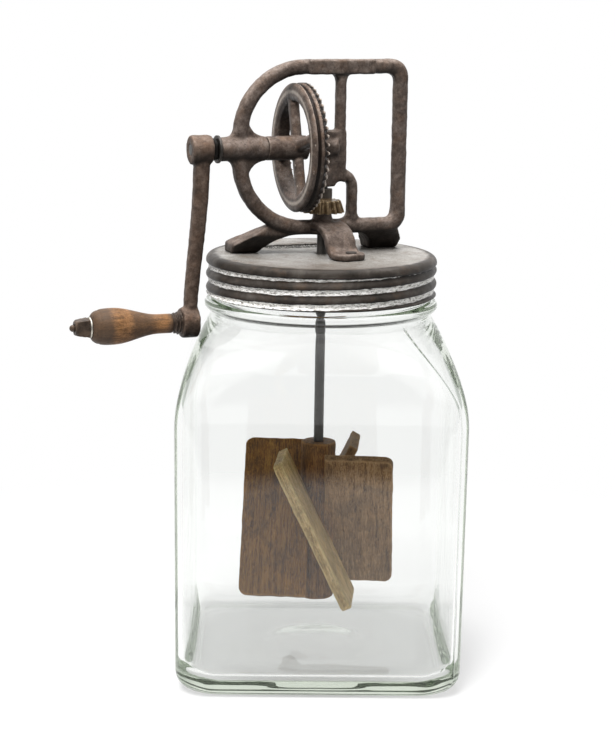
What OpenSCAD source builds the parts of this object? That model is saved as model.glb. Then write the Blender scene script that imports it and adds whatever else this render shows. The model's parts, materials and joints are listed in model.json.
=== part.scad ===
// Hand-cranked butter churn on a square glass jar.
// The origin is the centre of the jar's foot on the table, +Z is up and -Y is the jar's front side.
// The screw lid carries a cast-iron frame, a crank with a bevel gear, and a paddle dasher on a shaft.
// The head (lid, frame, crank and dasher) stands turned on the jar by head_turn.

/* [Jar] */
// Width across two flat sides of the jar
jar_w = 173; // [150:1:200]
// Radius of the jar's upright corners
jar_corner_r = 18; // [12:1:24]
// How much narrower each side is just above the heel
jar_taper = 0.8; // [0:0.1:3]
// Thickness of the glass walls
jar_wall = 4.3; // [3:0.1:6]
// Thickness of the glass floor
jar_floor = 9; // [6:0.5:14]
// How far the foot stands in from the sides
heel_inset = 11; // [6:0.5:16]
// Height of the rounded heel
heel_h = 14; // [8:0.5:22]
// Depth of the hollow under the foot
pushup_depth = 2; // [1:0.25:4]
// Radius of the hollow under the foot
pushup_r = 31; // [24:1:60]
// Height where the shoulder starts
shoulder_z = 162; // [150:1:172]
// Rise of the shoulder up to the neck
shoulder_h = 57; // [50:1:66]
// Outer radius at the top of the shoulder
shoulder_top_r = 67.4; // [66.8:0.1:69]
// Outer radius of the neck inside the lid
neck_r = 66; // [64:0.5:66.5]
// Height of the neck above the shoulder
neck_h = 36; // [34:0.5:44]
// Outer radius of the glass bead below the lid
bead_r = 71.2; // [69:0.1:73]
// Radius of the bead's own round section
bead_tube = 2.9; // [2.5:0.1:3.5]
// Gap between the bead and the lid's lower edge
bead_gap = 2.85; // [1:0.05:4]

/* [Lid] */
// Outer radius of the lid
lid_r = 70.4; // [69.5:0.1:74]
// Thickness of the sheet metal
lid_t = 0.8; // [0.5:0.1:1.2]
// Height of the lid's skirt
lid_skirt = 24.6; // [20:0.2:25]
// Radius of the rolled ribs, and how far they stand out
lid_rib = 1.4; // [0.8:0.1:1.8]
// Radius of the rounded edge of the lid's top
lid_edge_r = 4; // [2:0.5:6]
// Length of the strainer opening
slot_l = 52; // [40:1:60]
// Width of the strainer opening
slot_w = 17; // [12:1:20]
// Distance of the strainer opening's middle from the shaft
slot_y = 32.5; // [30:0.5:36]
// Rim of the strainer screen under the lid
screen_rim = 3; // [2:0.5:4]
// Thickness of the strainer screen
screen_t = 0.8; // [0.5:0.1:1.2]
// Pitch of the strainer's mesh
mesh_pitch = 3.4; // [3:0.1:5]
// Width of a wire in the strainer's mesh
mesh_wire = 1.1; // [0.8:0.1:1.6]

/* [Head and frame] */
// Turn of the head on the jar, in degrees
head_turn = 20; // [-45:1:45]
// Height of the crank's axis above the lid
crank_h = 64.5; // [62:0.5:70]
// Half the height of the frame's loop, to the middle of the bars
loop_half_h = 48.1; // [46:0.1:52]
// Radius of the loop's round end, to the middle of the bar
loop_r = 41; // [40:0.5:44]
// Distance of the loop's round end from the shaft, to the middle of the bar
loop_left = 53.3; // [50:0.1:56]
// Distance of the upright post from the shaft, to its middle
post_x = 49.6; // [46:0.2:56]
// Width of the loop's bars
bar_w = 8.4; // [7.2:0.2:9.2]
// Depth of the loop's bars from front to back
bar_d = 8.5; // [8:0.25:10]
// Radius along the edges of the bars
bar_edge_r = 3.3; // [1.5:0.1:3.4]
// Radius at the loop's square corners, to the middle of the bar
loop_corner_r = 6; // [5:0.25:9]
// Distance of the middle post from the shaft
mid_post_x = 10.6; // [9:0.2:12]
// Width of the middle post and of the arch's leg
mid_post_w = 5.9; // [5:0.1:6.5]
// Distance of the arch's leg from the shaft
arch_x = 19; // [18:0.2:22]
// Depth of the middle post, the plate and the arch from front to back
plate_d = 7.4; // [6:0.2:8.5]
// Height of the plate's top above the crank's axis
plate_rise = 10; // [9:0.5:14]
// Distance of the plate's lower edge below the crank's axis
plate_drop = 23.5; // [20.5:0.5:24]
// Radius of the fillets where the bars meet
fillet_r = 4; // [2:0.5:5]
// Radius of the fillets between the loop and the crank's long bearing
bearing_fillet_r = 11.5; // [6:0.5:12]
// Ends of the raised plain panel on the top bar, along the bar
panel_x = [-11, 31]; // [-14:1:34]
// How far the panel stands out in front
panel_rise = 0.8; // [0.4:0.1:1.5]

/* [Feet] */
// Distances of the two bar feet's inner ends from the shaft, at the round end and at the post
foot_in = [37, 36]; // [32:0.5:40]
// Distances of the two bar feet's outer ends from the shaft
foot_out = [54, 55]; // [52:0.5:58]
// Lengths of the arches under the bars beside the two feet
foot_arch = [22, 13]; // [12.8:0.2:24]
// Front and back edge of the bar feet on the lid, behind the bars' middle
foot_y = [12.5, 25]; // [10:0.5:30]
// Thickness of a bar foot at its toe
foot_t = 6; // [5:0.5:8]
// Direction of the strap foot, in degrees from the post's side
strap_angle = -80; // [-100:1:-70]
// Reach of the front strap foot from the shaft
strap_reach = 38; // [36:0.5:42]
// Length of the flat part of the strap foot
strap_flat = 9; // [8:0.5:10]
// Width of the strap foot
strap_w = 19.6; // [16:0.2:24]
// Thickness of the strap foot
strap_t = 4.2; // [3:0.1:5]
// Share of the strap's bend that bulges outwards
strap_bulge = 0.68; // [0.4:0.02:0.75]
// Diameter of the rivets' shanks
rivet_d = 4; // [3:0.25:5]
// Diameter of the rivets' heads
rivet_head_d = 6.6; // [6:0.2:8]
// Height of the rivets' heads
rivet_head_h = 1; // [0.6:0.1:1.5]

/* [Crank] */
// Diameter of the crank shaft
crank_d = 6.4; // [5.5:0.1:7]
// Outer diameter of the crank's long bearing
bearing_d = 14; // [12.5:0.5:16]
// Distances of the long bearing's two ends from the dasher's axis
bearing_x = [66.4, 37]; // [30:0.2:70]
// Diameter of the washer between the bearing and the crank
washer_d = 16.6; // [14:0.2:18]
// Thickness of the washer
washer_t = 1.4; // [0.8:0.1:2]
// Length of the crank's neck beside the washer
arm_neck = 3.6; // [3:0.2:6]
// Length of the crank's upper boss
arm_boss = 12.5; // [8:0.5:14]
// Diameter of the crank's upper boss
arm_boss_d = 16.8; // [15:0.2:19]
// Distance between the crank's axis and the handle's axis
crank_throw = 103; // [96:0.5:104]
// How far the crank's lower end bows outwards
arm_bow = 7; // [6:0.5:10]
// Distance of the arm's middle line inwards from the middles of its bosses
arm_in = 0.8; // [0:0.1:1]
// Thickness of the crank's arm at its top and bottom
arm_t = [9.2, 7.4]; // [5:0.1:10]
// Width of the crank's arm at its top and bottom
arm_w = [10.5, 9.5]; // [8:0.1:12]
// Length of the crank's lower boss
pin_boss = 10; // [6:0.5:11]
// Diameter of the crank's lower boss
pin_boss_d = 18; // [16:0.5:20]

/* [Gears] */
// Teeth of the drive gear
gear_teeth = 48; // [46:1:50]
// Teeth of the pinion
pinion_teeth = 15; // [14:1:16]
// Outer radius of the drive gear
gear_r = 38.7; // [37:0.1:39.5]
// Radial length of the drive gear's teeth
tooth_l = 6.7; // [5:0.1:7]
// Inner radius of the drive gear's rim
rim_in_r = 28; // [26:0.5:31]
// Thickness of the drive gear's rim behind the teeth
rim_t = 6.75; // [5:0.25:8]
// Diameter of the drive gear's hub
gear_hub_d = 14.4; // [12.6:0.2:16]
// Width of the spokes
spoke_w = 7.4; // [5:0.2:9]
// Thickness of the spokes
spoke_t = 6; // [4.5:0.25:6.5]
// Turn of the spokes from the upright, in degrees
spoke_turn = 75; // [0:5:85]
// Play between the gears' teeth
backlash = 0.4; // [0.3:0.05:0.5]
// Pressure angle of the teeth, in degrees
pressure_angle = 20; // [20:1:24]
// Height of the pinion's teeth along its axis
pinion_h = 7.4; // [6:0.1:7.6]
// Diameter of the pinion's upper hub
pinion_hub_d = 11.6; // [11:0.2:14]
// Distance of the pinion's foot below the crank's axis
pinion_drop = 39.3; // [38.5:0.1:39.5]
// Diameter of the cross pins in the hubs
pin_d = 2.4; // [2:0.1:3]

/* [Dasher] */
// Diameter of the dasher's shaft
shaft_d = 6; // [5:0.1:6.4]
// Diameter of the wooden hub
hub_d = 21.4; // [18:0.2:23]
// Height of the wooden hub
hub_h = 100; // [90:1:110]
// Height of the wooden hub's lower end above the table
hub_z = 38.5; // [32:0.5:44]
// How deep the shaft sits in the wooden hub
hub_socket = 70; // [50:1:80]
// Radius of the dasher over its four paddles
paddle_r = 47; // [40:0.5:54]
// Distance of a paddle's inner edge from the axis
paddle_in_r = 5; // [4.8:0.1:6]
// Length of a paddle along its slope
paddle_l = 100; // [85:1:104]
// Thickness of a paddle
paddle_t = 6; // [5:0.25:7]
// Slope of the paddles from the upright, in degrees
paddle_slope = 26; // [15:1:30]
// Radius of a paddle's outer corners
paddle_corner_r = 5; // [2:0.5:8]
// Turn of the dasher at rest from the jar's sides, in degrees
dasher_turn = -5; // [-45:1:45]

/* [Handle] */
// Length of the wooden grip with its ferrule
grip_l = 55; // [48:0.5:70]
// Largest diameter of the grip
grip_d = 21.8; // [18:0.1:25]
// Diameter of the grip's neck
grip_neck_d = 11.6; // [10.5:0.1:14]
// Diameter of the grip's outer end
grip_end_d = 12.4; // [11:0.1:15]
// Diameter of the ferrule at the grip's inner end
ferrule_d = 15; // [12.5:0.1:16]
// Length of the ferrule
ferrule_l = 6; // [4:0.25:8]
// Diameter of the handle's spindle
spindle_d = 6; // [5:0.1:6.5]
// Thickness of the washer at the grip's outer end
grip_washer_t = 1.2; // [0.8:0.1:2]
// Width of the nut across its flats
nut_w = 9.4; // [8:0.1:11]
// Length of the nut
nut_l = 8.6; // [6:0.2:10]
// Length of the spindle's tip beyond the nut
tip_l = 3; // [2:0.25:5]

/* [Fits] */
// Radial play of a turning shaft in its bore
run_clear = 0.08; // [0.03:0.01:0.1]
// End play between faces that turn on each other
end_clear = 0.2; // [0.1:0.05:0.3]
// Radial play of a fixed piece in its seat
seat_clear = 0.05; // [0.03:0.01:0.08]
// Radial play of the dasher's shaft in the lid's hole
lid_hole_clear = 1.5; // [1:0.1:2]

/* [Hidden] */
$fn = 64;
// Points on each rounded corner of the jar's rings, and steps up its heel and its shoulder
corner_n = 9;
heel_n = 4;
shoulder_n = 13;
// Points round the crank's arm and rings along it
arm_n = 16;
arm_rings = 14;

// Power of the shoulder's curve, the step where its corners start to open into the round neck, and how softly
shoulder_curve = 1.9;
corner_start = 0.22;
corner_ease = 0.8;

// Shares of the lid's skirt below its plain shoulder and below each rib
shoulder_share = 0.65;
rib_shares = [0.03, 0.21, 0.45];

// Heights of the jar and the lid
neck_z = shoulder_z + shoulder_h;
rim_z = neck_z + neck_h;
lid_top_z = rim_z + lid_t;
jar_half = jar_w / 2;
foot_half = jar_half - heel_inset;
bead_z = lid_top_z - lid_skirt - bead_gap - bead_tube;
neck_in_r = neck_r - jar_wall;
neck_ledge = 1.5;
heel_half = jar_half - jar_taper;

// The frame's bars, in the head's own frame with the lid's top at z = 0
loop_top = crank_h + loop_half_h;
loop_bottom = crank_h - loop_half_h;
loop_cx = loop_r - loop_left;
loop_dz = loop_half_h - loop_r;
saddle_top = loop_bottom + bar_w / 2;
saddle_bottom = loop_bottom - bar_w / 2;
plate_top = crank_h + plate_rise;
plate_z = crank_h - plate_drop;
pinion_z = crank_h - pinion_drop;
shaft_boss_d = shaft_d + 8;
saddle_step = 0.6;
strap_top = saddle_top - saddle_step;
shaft_boss_z = pinion_z - end_clear;
plate_left = -6;
far_bearing_x = -7;
far_bearing_depth = 12;
far_bearing_d = bearing_d - 1;
top_bearing_d = shaft_d + 5;
top_bearing_depth = 7;
arch_drop_r = (arch_x - mid_post_x) / 2;
// Where the tops of the bar feet start to fall, from the shaft and from the bars' middle
foot_fall_x = [31, 45];
foot_fall_y = 3;
// Depth of the rivets in the bar feet
foot_rivet_h = foot_t - 1.5;

// The bevel gears share one apex where their axes cross
gear_ratio = gear_teeth / pinion_teeth;
tooth_addendum = 0.75;
tooth_dedendum = 1;
tooth_tip_bevel = 0.3;
gear_pitch_x = -gear_r / gear_ratio;
gear_module = 2 * gear_r / gear_teeth;
gear_root_x = gear_pitch_x - tooth_dedendum * gear_module;
root_slope = gear_root_x / gear_r;
gear_in_r = gear_r - tooth_l;
rim_back_x = gear_root_x - rim_t;
gear_hub_x = -bearing_x[1] + end_clear;
pinion_pitch_r = pinion_drop / gear_ratio;
pinion_module = 2 * pinion_pitch_r / pinion_teeth;
pinion_top_z = plate_z - 1.5;

// Places along the crank's axis, which points to -x at the crank's end
washer_x = -bearing_x[0] - end_clear - washer_t;
arm_neck_x = washer_x - arm_neck;
arm_out_x = arm_neck_x - arm_boss;
arm_mid_x = arm_neck_x - arm_boss / 2;
pin_mid_x = arm_mid_x - arm_bow;
pin_out_x = pin_mid_x - pin_boss / 2;
pin_in_x = pin_mid_x + pin_boss / 2;
handle_z = crank_h - crank_throw;
ferrule_x = pin_out_x - end_clear;
grip_end_x = ferrule_x - grip_l;
grip_washer_x = grip_end_x - end_clear - grip_washer_t;
nut_x = grip_washer_x - nut_l;
tip_x = nut_x - tip_l;
spindle_end_d = spindle_d - 1;
tip_d = spindle_d - 2;

// The dasher's levels in the head's own frame
hub_bottom = hub_z - lid_top_z;
hub_top = hub_bottom + hub_h;
hub_mid = hub_bottom + hub_h / 2;
shaft_bottom = hub_top - hub_socket;
shaft_top = plate_z + top_bearing_depth - 0.5;
hub_pin_z = hub_top - 8;
pinion_pin_z = (pinion_z + pinion_h + pinion_top_z) / 2;

// Pieces drawn with these names

// Places the children on the lid, turned with the head
module on_head() {
    translate([0, 0, lid_top_z])
        rotate(head_turn)
            children();
}

// Turns the children's +Z axis to the head's +X axis, on the crank's axis
module on_crank(x = 0, z = crank_h) {
    translate([x, 0, z])
        rotate([0, 90, 0])
            children();
}

// A closed skin over a list of rings with equal numbers of points
module skin(rings) {
    n = len(rings[0]);
    m = len(rings);
    points = [for (ring = rings) each ring];
    sides = [
        for (k = [0 : m - 2], i = [0 : n - 1])
            let (j = (i + 1) % n, a = k * n, b = a + n)
                each [[a + i, b + i, b + j], [a + i, b + j, a + j]]
    ];
    caps = [[for (i = [0 : n - 1]) i], [for (i = [n - 1 : -1 : 0]) (m - 1) * n + i]];
    polyhedron(points, concat(sides, caps));
}

// A rounded square with half-width a and corner radius r, as points at height z
function square_ring(a, r, z) = [
    for (c = [0 : 3], i = [0 : corner_n])
        let (turn = 90 * c + 90 * i / corner_n, mid = 90 * c + 45)
            [
                (a - r) * sign(cos(mid)) + r * cos(turn),
                (a - r) * sign(sin(mid)) + r * sin(turn),
                z
            ]
];

// The shoulder narrows in step s from 0 at the body to 1 at the neck, and its corners open into a circle
function shoulder_half(s) = jar_half - (jar_half - shoulder_top_r) * pow(s, shoulder_curve);
function eased(t) = t + corner_ease * (t * t * (3 - 2 * t) - t);
function corner_step(s) = eased(max(0, (s - corner_start) / (1 - corner_start)));
function shoulder_corner(s) = jar_corner_r + (shoulder_top_r - 1 - jar_corner_r) * corner_step(s);

// Rings of the jar's outside (inset 0) or of its hollow (inset by the wall, and by top_inset at the neck)
function body_rings(inset, top_inset, foot_z, foot_a, corner) = [
    for (i = [0 : heel_n])
        let (t = 90 * i / heel_n)
            square_ring(
                foot_a + (heel_half - inset - foot_a) * sin(t),
                corner,
                foot_z + heel_h * (1 - cos(t))
            ),
    for (i = [0 : shoulder_n])
        let (s = i / shoulder_n, in = inset + (top_inset - inset) * s * s)
            square_ring(
                shoulder_half(s) - in,
                max(shoulder_corner(s) - in, corner),
                shoulder_z + shoulder_h * s
            )
];

module jar() {
    color("#dfe8e4")
        difference() {
            union() {
                skin(body_rings(0, 0, 0, foot_half, jar_corner_r));
                translate([0, 0, neck_z - 1])
                    cylinder(r = neck_r, h = rim_z - neck_z + 1);
                translate([0, 0, bead_z])
                    rotate_extrude()
                        translate([bead_r - bead_tube, 0])
                            circle(bead_tube);
            }
            skin(body_rings(
                jar_wall, shoulder_top_r - neck_in_r - neck_ledge, jar_floor,
                foot_half - jar_wall, jar_corner_r - jar_wall
            ));
            translate([0, 0, neck_z - jar_wall])
                cylinder(r = neck_in_r, h = neck_h + 2 * jar_wall);
            translate([0, 0, -1])
                cylinder(r = pushup_r, h = pushup_depth + 1);
        }
}

// Outline of the lid's half-section, drawn in by the given inset
module lid_outline(inset) {
    skirt_r = lid_r - lid_rib;
    square([lid_r - lid_edge_r, lid_skirt - inset]);
    square([skirt_r - inset, lid_skirt - lid_edge_r]);
    translate([0, lid_skirt * shoulder_share + inset])
        square([lid_r - inset, lid_skirt * (1 - shoulder_share) - lid_edge_r - inset]);
    translate([lid_r - lid_edge_r, lid_skirt - lid_edge_r])
        circle(lid_edge_r - inset);
    for (k = rib_shares)
        translate([skirt_r - inset, lid_skirt * k])
            circle(lid_rib - inset / 2);
}

module lid_shell() {
    translate([0, 0, -lid_skirt])
        rotate_extrude()
            intersection() {
                difference() {
                    lid_outline(0);
                    lid_outline(lid_t);
                }
                square([lid_r, lid_skirt]);
            }
}

// A slot with round ends, along x
module slot(l, w) {
    square([l - w, w], center = true);
    for (s = [-1, 1])
        translate([s * (l - w) / 2, 0])
            circle(d = w);
}

// Where the rivets stand on the lid, as [x, y, height in the foot]
foot_rivet_y = (foot_y[0] + foot_y[1]) / 2;
strap_rivet_r = strap_reach - strap_flat / 2;
rivet_places = [
    [-(foot_in[0] + foot_out[0]) / 2, foot_rivet_y, foot_rivet_h],
    [(foot_in[1] + foot_out[1]) / 2, foot_rivet_y, foot_rivet_h],
    [strap_rivet_r * cos(strap_angle), strap_rivet_r * sin(strap_angle), strap_t]
];

module lid() {
    color("#8d8a84")
        on_head()
            difference() {
                lid_shell();
                translate([0, 0, -2 * lid_t])
                    cylinder(d = shaft_d + 2 * lid_hole_clear, h = 3 * lid_t);
                translate([0, slot_y, -2 * lid_t])
                    linear_extrude(3 * lid_t)
                        slot(slot_l, slot_w);
                for (p = rivet_places)
                    translate([p[0], p[1], -2 * lid_t])
                        cylinder(d = rivet_d + 2 * seat_clear, h = 3 * lid_t);
            }
}

module strainer_screen() {
    columns = floor((slot_l - slot_w) / mesh_pitch);
    rows = floor(slot_w / mesh_pitch);
    hole = mesh_pitch - mesh_wire;
    color("#4a4642")
        on_head()
            translate([0, slot_y, -lid_t - screen_t])
                linear_extrude(screen_t)
                    difference() {
                        slot(slot_l + 2 * screen_rim, slot_w + 2 * screen_rim);
                        for (i = [0 : columns], j = [0 : rows - 1])
                            translate([(i - columns / 2) * mesh_pitch, (j - (rows - 1) / 2) * mesh_pitch])
                                square(hole, center = true);
                    }
}

// Section of a bar of the frame, rounded along its edges
module bar_section(w, d = bar_d) {
    r = min(bar_edge_r, w / 2 - 0.2, d / 2 - 0.2);
    square([w, d - 2 * r], center = true);
    square([w - 2 * r, d], center = true);
    for (sx = [-1, 1], sy = [-1, 1])
        translate([sx * (w / 2 - r), sy * (d / 2 - r)])
            circle(r);
}

// A straight bar in the frame's plane from point a to point b
module strut(a, b, w, d = bar_d) {
    run = b - a;
    translate([a[0], a[1], 0])
        rotate([0, 0, atan2(run[1], run[0])])
            rotate([90, 0, 90])
                linear_extrude(norm(run))
                    bar_section(w, d);
}

// A curved bar in the frame's plane round the given centre
module bend(centre, r, from, turn, w, d = bar_d) {
    translate([centre[0], centre[1], 0])
        rotate([0, 0, from])
            rotate_extrude(angle = turn)
                translate([r, 0])
                    bar_section(w, d);
}

// A fillet in the corner at p, filling the quarter that points along sx and sy
module corner_fillet(p, sx, sy, r = fillet_r, d = plate_d - 2) {
    translate([p[0], p[1], -d / 2])
        linear_extrude(d)
            difference() {
                translate([sx > 0 ? -1 : -r, sy > 0 ? -1 : -r])
                    square(r + 1);
                translate([sx * r, sy * r])
                    circle(r);
            }
}

// The loop of bars, drawn in its own plane with y for the height
module frame_loop() {
    top_in = loop_top - loop_corner_r;
    bottom_in = loop_bottom + loop_corner_r;
    right_in = post_x - loop_corner_r;
    upper = [loop_cx, crank_h + loop_dz];
    lower = [loop_cx, crank_h - loop_dz];
    bend(upper, loop_r, 90, 90, bar_w);
    strut([-loop_left, crank_h - loop_dz], [-loop_left, crank_h + loop_dz], bar_w);
    bend(lower, loop_r, 180, 90, bar_w);
    strut([loop_cx, loop_top], [right_in, loop_top], bar_w);
    strut([loop_cx, loop_bottom], [right_in, loop_bottom], bar_w);
    bend([right_in, top_in], loop_corner_r, 0, 90, bar_w);
    bend([right_in, bottom_in], loop_corner_r, 270, 90, bar_w);
    strut([post_x, bottom_in], [post_x, top_in], bar_w);
    corner_fillet([post_x - bar_w / 2, loop_top - bar_w / 2], -1, -1);
    corner_fillet([post_x - bar_w / 2, saddle_top], -1, 1);
    for (side = [-1, 1], up = [-1, 1])
        corner_fillet(
            [side * bar_w / 2 - loop_left, crank_h + up * bearing_d / 2],
            side, up, side > 0 ? bearing_fillet_r : fillet_r
        );
    translate([panel_x[0], loop_top - bar_w / 2, 0])
        cube([panel_x[1] - panel_x[0], bar_w, bar_d / 2 + panel_rise]);
}

// The middle post, the plate and the arch, drawn in the same plane
module frame_web() {
    plate_right = mid_post_x + mid_post_w / 2;
    bend_z = plate_z + 3 * arch_drop_r;
    strut([mid_post_x, plate_top - 1], [mid_post_x, loop_top], mid_post_w, plate_d);
    corner_fillet([mid_post_x - mid_post_w / 2, loop_top - bar_w / 2], -1, -1);
    corner_fillet([plate_right, loop_top - bar_w / 2], 1, -1);
    translate([0, 0, -plate_d / 2])
        linear_extrude(plate_d)
            difference() {
                translate([plate_left, plate_z])
                    square([plate_right - plate_left, plate_top - plate_z]);
                translate([mid_post_x, plate_z - 1])
                    circle(arch_drop_r);
            }
    bend([arch_x, bend_z], 2 * arch_drop_r, 180, 55, mid_post_w, plate_d);
    bend([mid_post_x, plate_z - 1], 2 * arch_drop_r, 0, 75, mid_post_w, plate_d);
    strut([arch_x, loop_bottom], [arch_x, plate_z - 1], mid_post_w, plate_d);
    corner_fillet([arch_x + mid_post_w / 2, saddle_top], 1, 1);
    corner_fillet([arch_x - mid_post_w / 2, saddle_top], -1, 1);
}

// Front view of bar foot k, which points to +x: an arch on its inner side and a sloping top
module bar_foot_front(k) {
    run = foot_arch[k];
    arch_r = (pow(run, 2) + pow(saddle_bottom, 2)) / (2 * saddle_bottom);
    inner = foot_in[k] - run;
    difference() {
        polygon([
            [inner, 0],
            [foot_out[k], 0],
            [foot_out[k], foot_t],
            [foot_fall_x[k], saddle_top],
            [inner, saddle_top]
        ]);
        translate([inner, saddle_bottom - arch_r])
            circle(arch_r);
    }
}

// Side view of the bar feet, from the bars back and down to the lid
module bar_foot_side() {
    front = bar_d / 2 - bar_edge_r;
    polygon([
        [-front, saddle_bottom],
        [foot_y[0], 0],
        [foot_y[1], 0],
        [foot_y[1], foot_t],
        [foot_fall_y, saddle_top - 1],
        [-front, saddle_top - 1]
    ]);
}

module bar_foot(k) {
    intersection() {
        translate([0, foot_y[1] + 1, 0])
            rotate([90, 0, 0])
                linear_extrude(foot_y[1] + bar_d)
                    bar_foot_front(k);
        rotate([90, 0, 90])
            linear_extrude(foot_out[k] + 1)
                bar_foot_side();
    }
}

// Side view of the strap foot: level, an S down to the lid, then flat
module strap_foot_profile() {
    start = shaft_boss_d / 2;
    run = strap_reach - strap_flat - start;
    drop = strap_top - strap_t;
    lean = 2 * atan2(drop, run);
    bend_r = run / sin(lean);
    out_r = bend_r * strap_bulge;
    in_r = bend_r - out_r;
    translate([0, drop])
        square([start, strap_t]);
    ring_sector([start, strap_top - strap_t / 2 - out_r], out_r, strap_t, 89 - lean, 91);
    ring_sector([start + run, strap_t / 2 + in_r], in_r, strap_t, 269 - lean, 271);
    translate([start + run, 0])
        square([strap_flat, strap_t]);
}

// Part of a flat ring of mean radius r and width t, between two angles
module ring_sector(centre, r, t, from, to) {
    far = 4 * (r + t);
    translate(centre)
        intersection() {
            difference() {
                circle(r + t / 2);
                circle(r - t / 2);
            }
            polygon([[0, 0], far * [cos(from), sin(from)], far * [cos(to), sin(to)]]);
        }
}

// The strap foot along +x, with rounded toe corners
module strap_foot() {
    toe_r = strap_w / 3;
    intersection() {
        rotate([90, 0, 0])
            linear_extrude(strap_w, center = true)
                strap_foot_profile();
        linear_extrude(saddle_top) {
            translate([0, -strap_w / 2])
                square([strap_reach - toe_r, strap_w]);
            translate([strap_reach - toe_r, toe_r - strap_w / 2])
                square([toe_r, strap_w - 2 * toe_r]);
            for (s = [-1, 1])
                translate([strap_reach - toe_r, s * (strap_w / 2 - toe_r)])
                    circle(toe_r);
        }
    }
}

module frame_solid() {
    rotate([90, 0, 0]) {
        frame_loop();
        frame_web();
    }
    on_crank(-bearing_x[0])
        cylinder(d = bearing_d, h = bearing_x[0] - bearing_x[1]);
    on_crank(far_bearing_x)
        cylinder(d = far_bearing_d, h = far_bearing_depth + 3);
    translate([0, 0, plate_z])
        cylinder(d = top_bearing_d, h = top_bearing_depth + 3);
    translate([0, 0, saddle_bottom])
        cylinder(d = shaft_boss_d + 2, h = bar_w - 2 * saddle_step);
    translate([0, 0, saddle_bottom + 1])
        cylinder(d1 = shaft_boss_d, d2 = shaft_boss_d - 3, h = shaft_boss_z - saddle_bottom - 1);
    mirror([1, 0, 0])
        bar_foot(0);
    bar_foot(1);
    rotate(strap_angle)
        strap_foot();
}

module frame() {
    color("#4b433e")
        on_head()
            difference() {
                frame_solid();
                on_crank(-bearing_x[0] - 1)
                    cylinder(d = crank_d + 2 * run_clear, h = bearing_x[0] - bearing_x[1] + 2);
                on_crank(far_bearing_x - 1)
                    cylinder(d = crank_d + 2 * run_clear, h = far_bearing_depth + 1);
                translate([0, 0, saddle_bottom - 1])
                    cylinder(d = shaft_d + 2 * run_clear, h = shaft_boss_z - saddle_bottom + 2);
                translate([0, 0, plate_z - 1])
                    cylinder(d = shaft_d + 2 * run_clear, h = top_bearing_depth + 1);
                for (p = rivet_places)
                    translate([p[0], p[1], -1])
                        cylinder(d = rivet_d + 2 * seat_clear, h = p[2] + 1 + seat_clear);
            }
}

module frame_rivets() {
    color("#56504a")
        on_head() {
            for (p = rivet_places)
                translate([p[0], p[1], -lid_t - rivet_head_h]) {
                    cylinder(d = rivet_head_d, h = rivet_head_h);
                    cylinder(d = rivet_d, h = p[2] + lid_t + rivet_head_h);
                }
            translate(rivet_places[2])
                cylinder(d = rivet_head_d, h = rivet_head_h);
        }
}

module crank_shaft() {
    far_end = far_bearing_x + far_bearing_depth - 0.5;
    color("#5b534c")
        on_head()
            difference() {
                on_crank(arm_out_x)
                    cylinder(d = crank_d, h = far_end - arm_out_x);
                gear_pin_hole();
            }
}

module crank_washer() {
    color("#2f2b28")
        on_head()
            on_crank(washer_x)
                difference() {
                    cylinder(d = washer_d, h = washer_t);
                    translate([0, 0, -1])
                        cylinder(d = crank_d + 2 * seat_clear, h = washer_t + 2);
                }
}

// A ring across the crank's arm at step u from 0 at its top to 1 at its lower boss
function arm_ring(u) =
    let (
        late = pow(u, 1.2),
        ease = late * late * (3 - 2 * late),
        x = arm_mid_x + arm_in - arm_bow * ease,
        z = crank_h - crank_throw * u,
        t = arm_t[0] + (arm_t[1] - arm_t[0]) * u,
        w = arm_w[0] + (arm_w[1] - arm_w[0]) * u
    )
    [
        for (i = [0 : arm_n - 1])
            let (
                a = 360 * (i + 0.5) / arm_n,
                squash = pow(pow(abs(cos(a)), 3) + pow(abs(sin(a)), 3), -1 / 3)
            )
                [x + t / 2 * squash * cos(a), -w / 2 * squash * sin(a), z]
    ];

module crank_arm() {
    color("#4b433e")
        on_head()
            difference() {
                union() {
                    skin([for (k = [0 : arm_rings]) arm_ring(k / arm_rings)]);
                    on_crank(arm_out_x)
                        cylinder(d = arm_boss_d, h = arm_boss);
                    on_crank(arm_neck_x)
                        cylinder(d = arm_boss_d - 4, h = arm_neck);
                    on_crank(pin_out_x, handle_z)
                        cylinder(d = pin_boss_d, h = pin_boss);
                }
                on_crank(arm_out_x - 1)
                    cylinder(d = crank_d + 2 * seat_clear, h = arm_boss + arm_neck + 2);
                on_crank(pin_out_x - 1, handle_z)
                    cylinder(d = spindle_d + 2 * seat_clear, h = pin_boss + 2);
            }
}

// The upright hole for the pin through the drive gear's hub and the crank shaft
module gear_pin_hole() {
    translate([gear_pin_x(), 0, crank_h - gear_hub_d])
        cylinder(d = pin_d + 2 * seat_clear, h = 2 * gear_hub_d);
}

function gear_pin_x() = gear_hub_x + 5;

// One tooth of the drive gear at its foot, pointing down, drawn towards the gears' apex
module gear_tooth() {
    m = gear_module;
    half = PI * m / 4 - backlash / 2;
    lean = tan(pressure_angle);
    tip_x = gear_pitch_x + tooth_addendum * m;
    bevel = tooth_tip_bevel * m;
    root_x = gear_root_x - 0.4;
    tip_half = half - tooth_addendum * m * lean;
    root_half = half + (gear_pitch_x - root_x) * lean;
    translate([0, 0, crank_h - gear_r])
        linear_extrude(tooth_l, scale = gear_in_r / gear_r)
            polygon([
                [root_x, -root_half],
                [tip_x - bevel, -tip_half - bevel * lean],
                [tip_x, -tip_half + bevel],
                [tip_x, tip_half - bevel],
                [tip_x - bevel, tip_half + bevel * lean],
                [root_x, root_half]
            ]);
}

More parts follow.
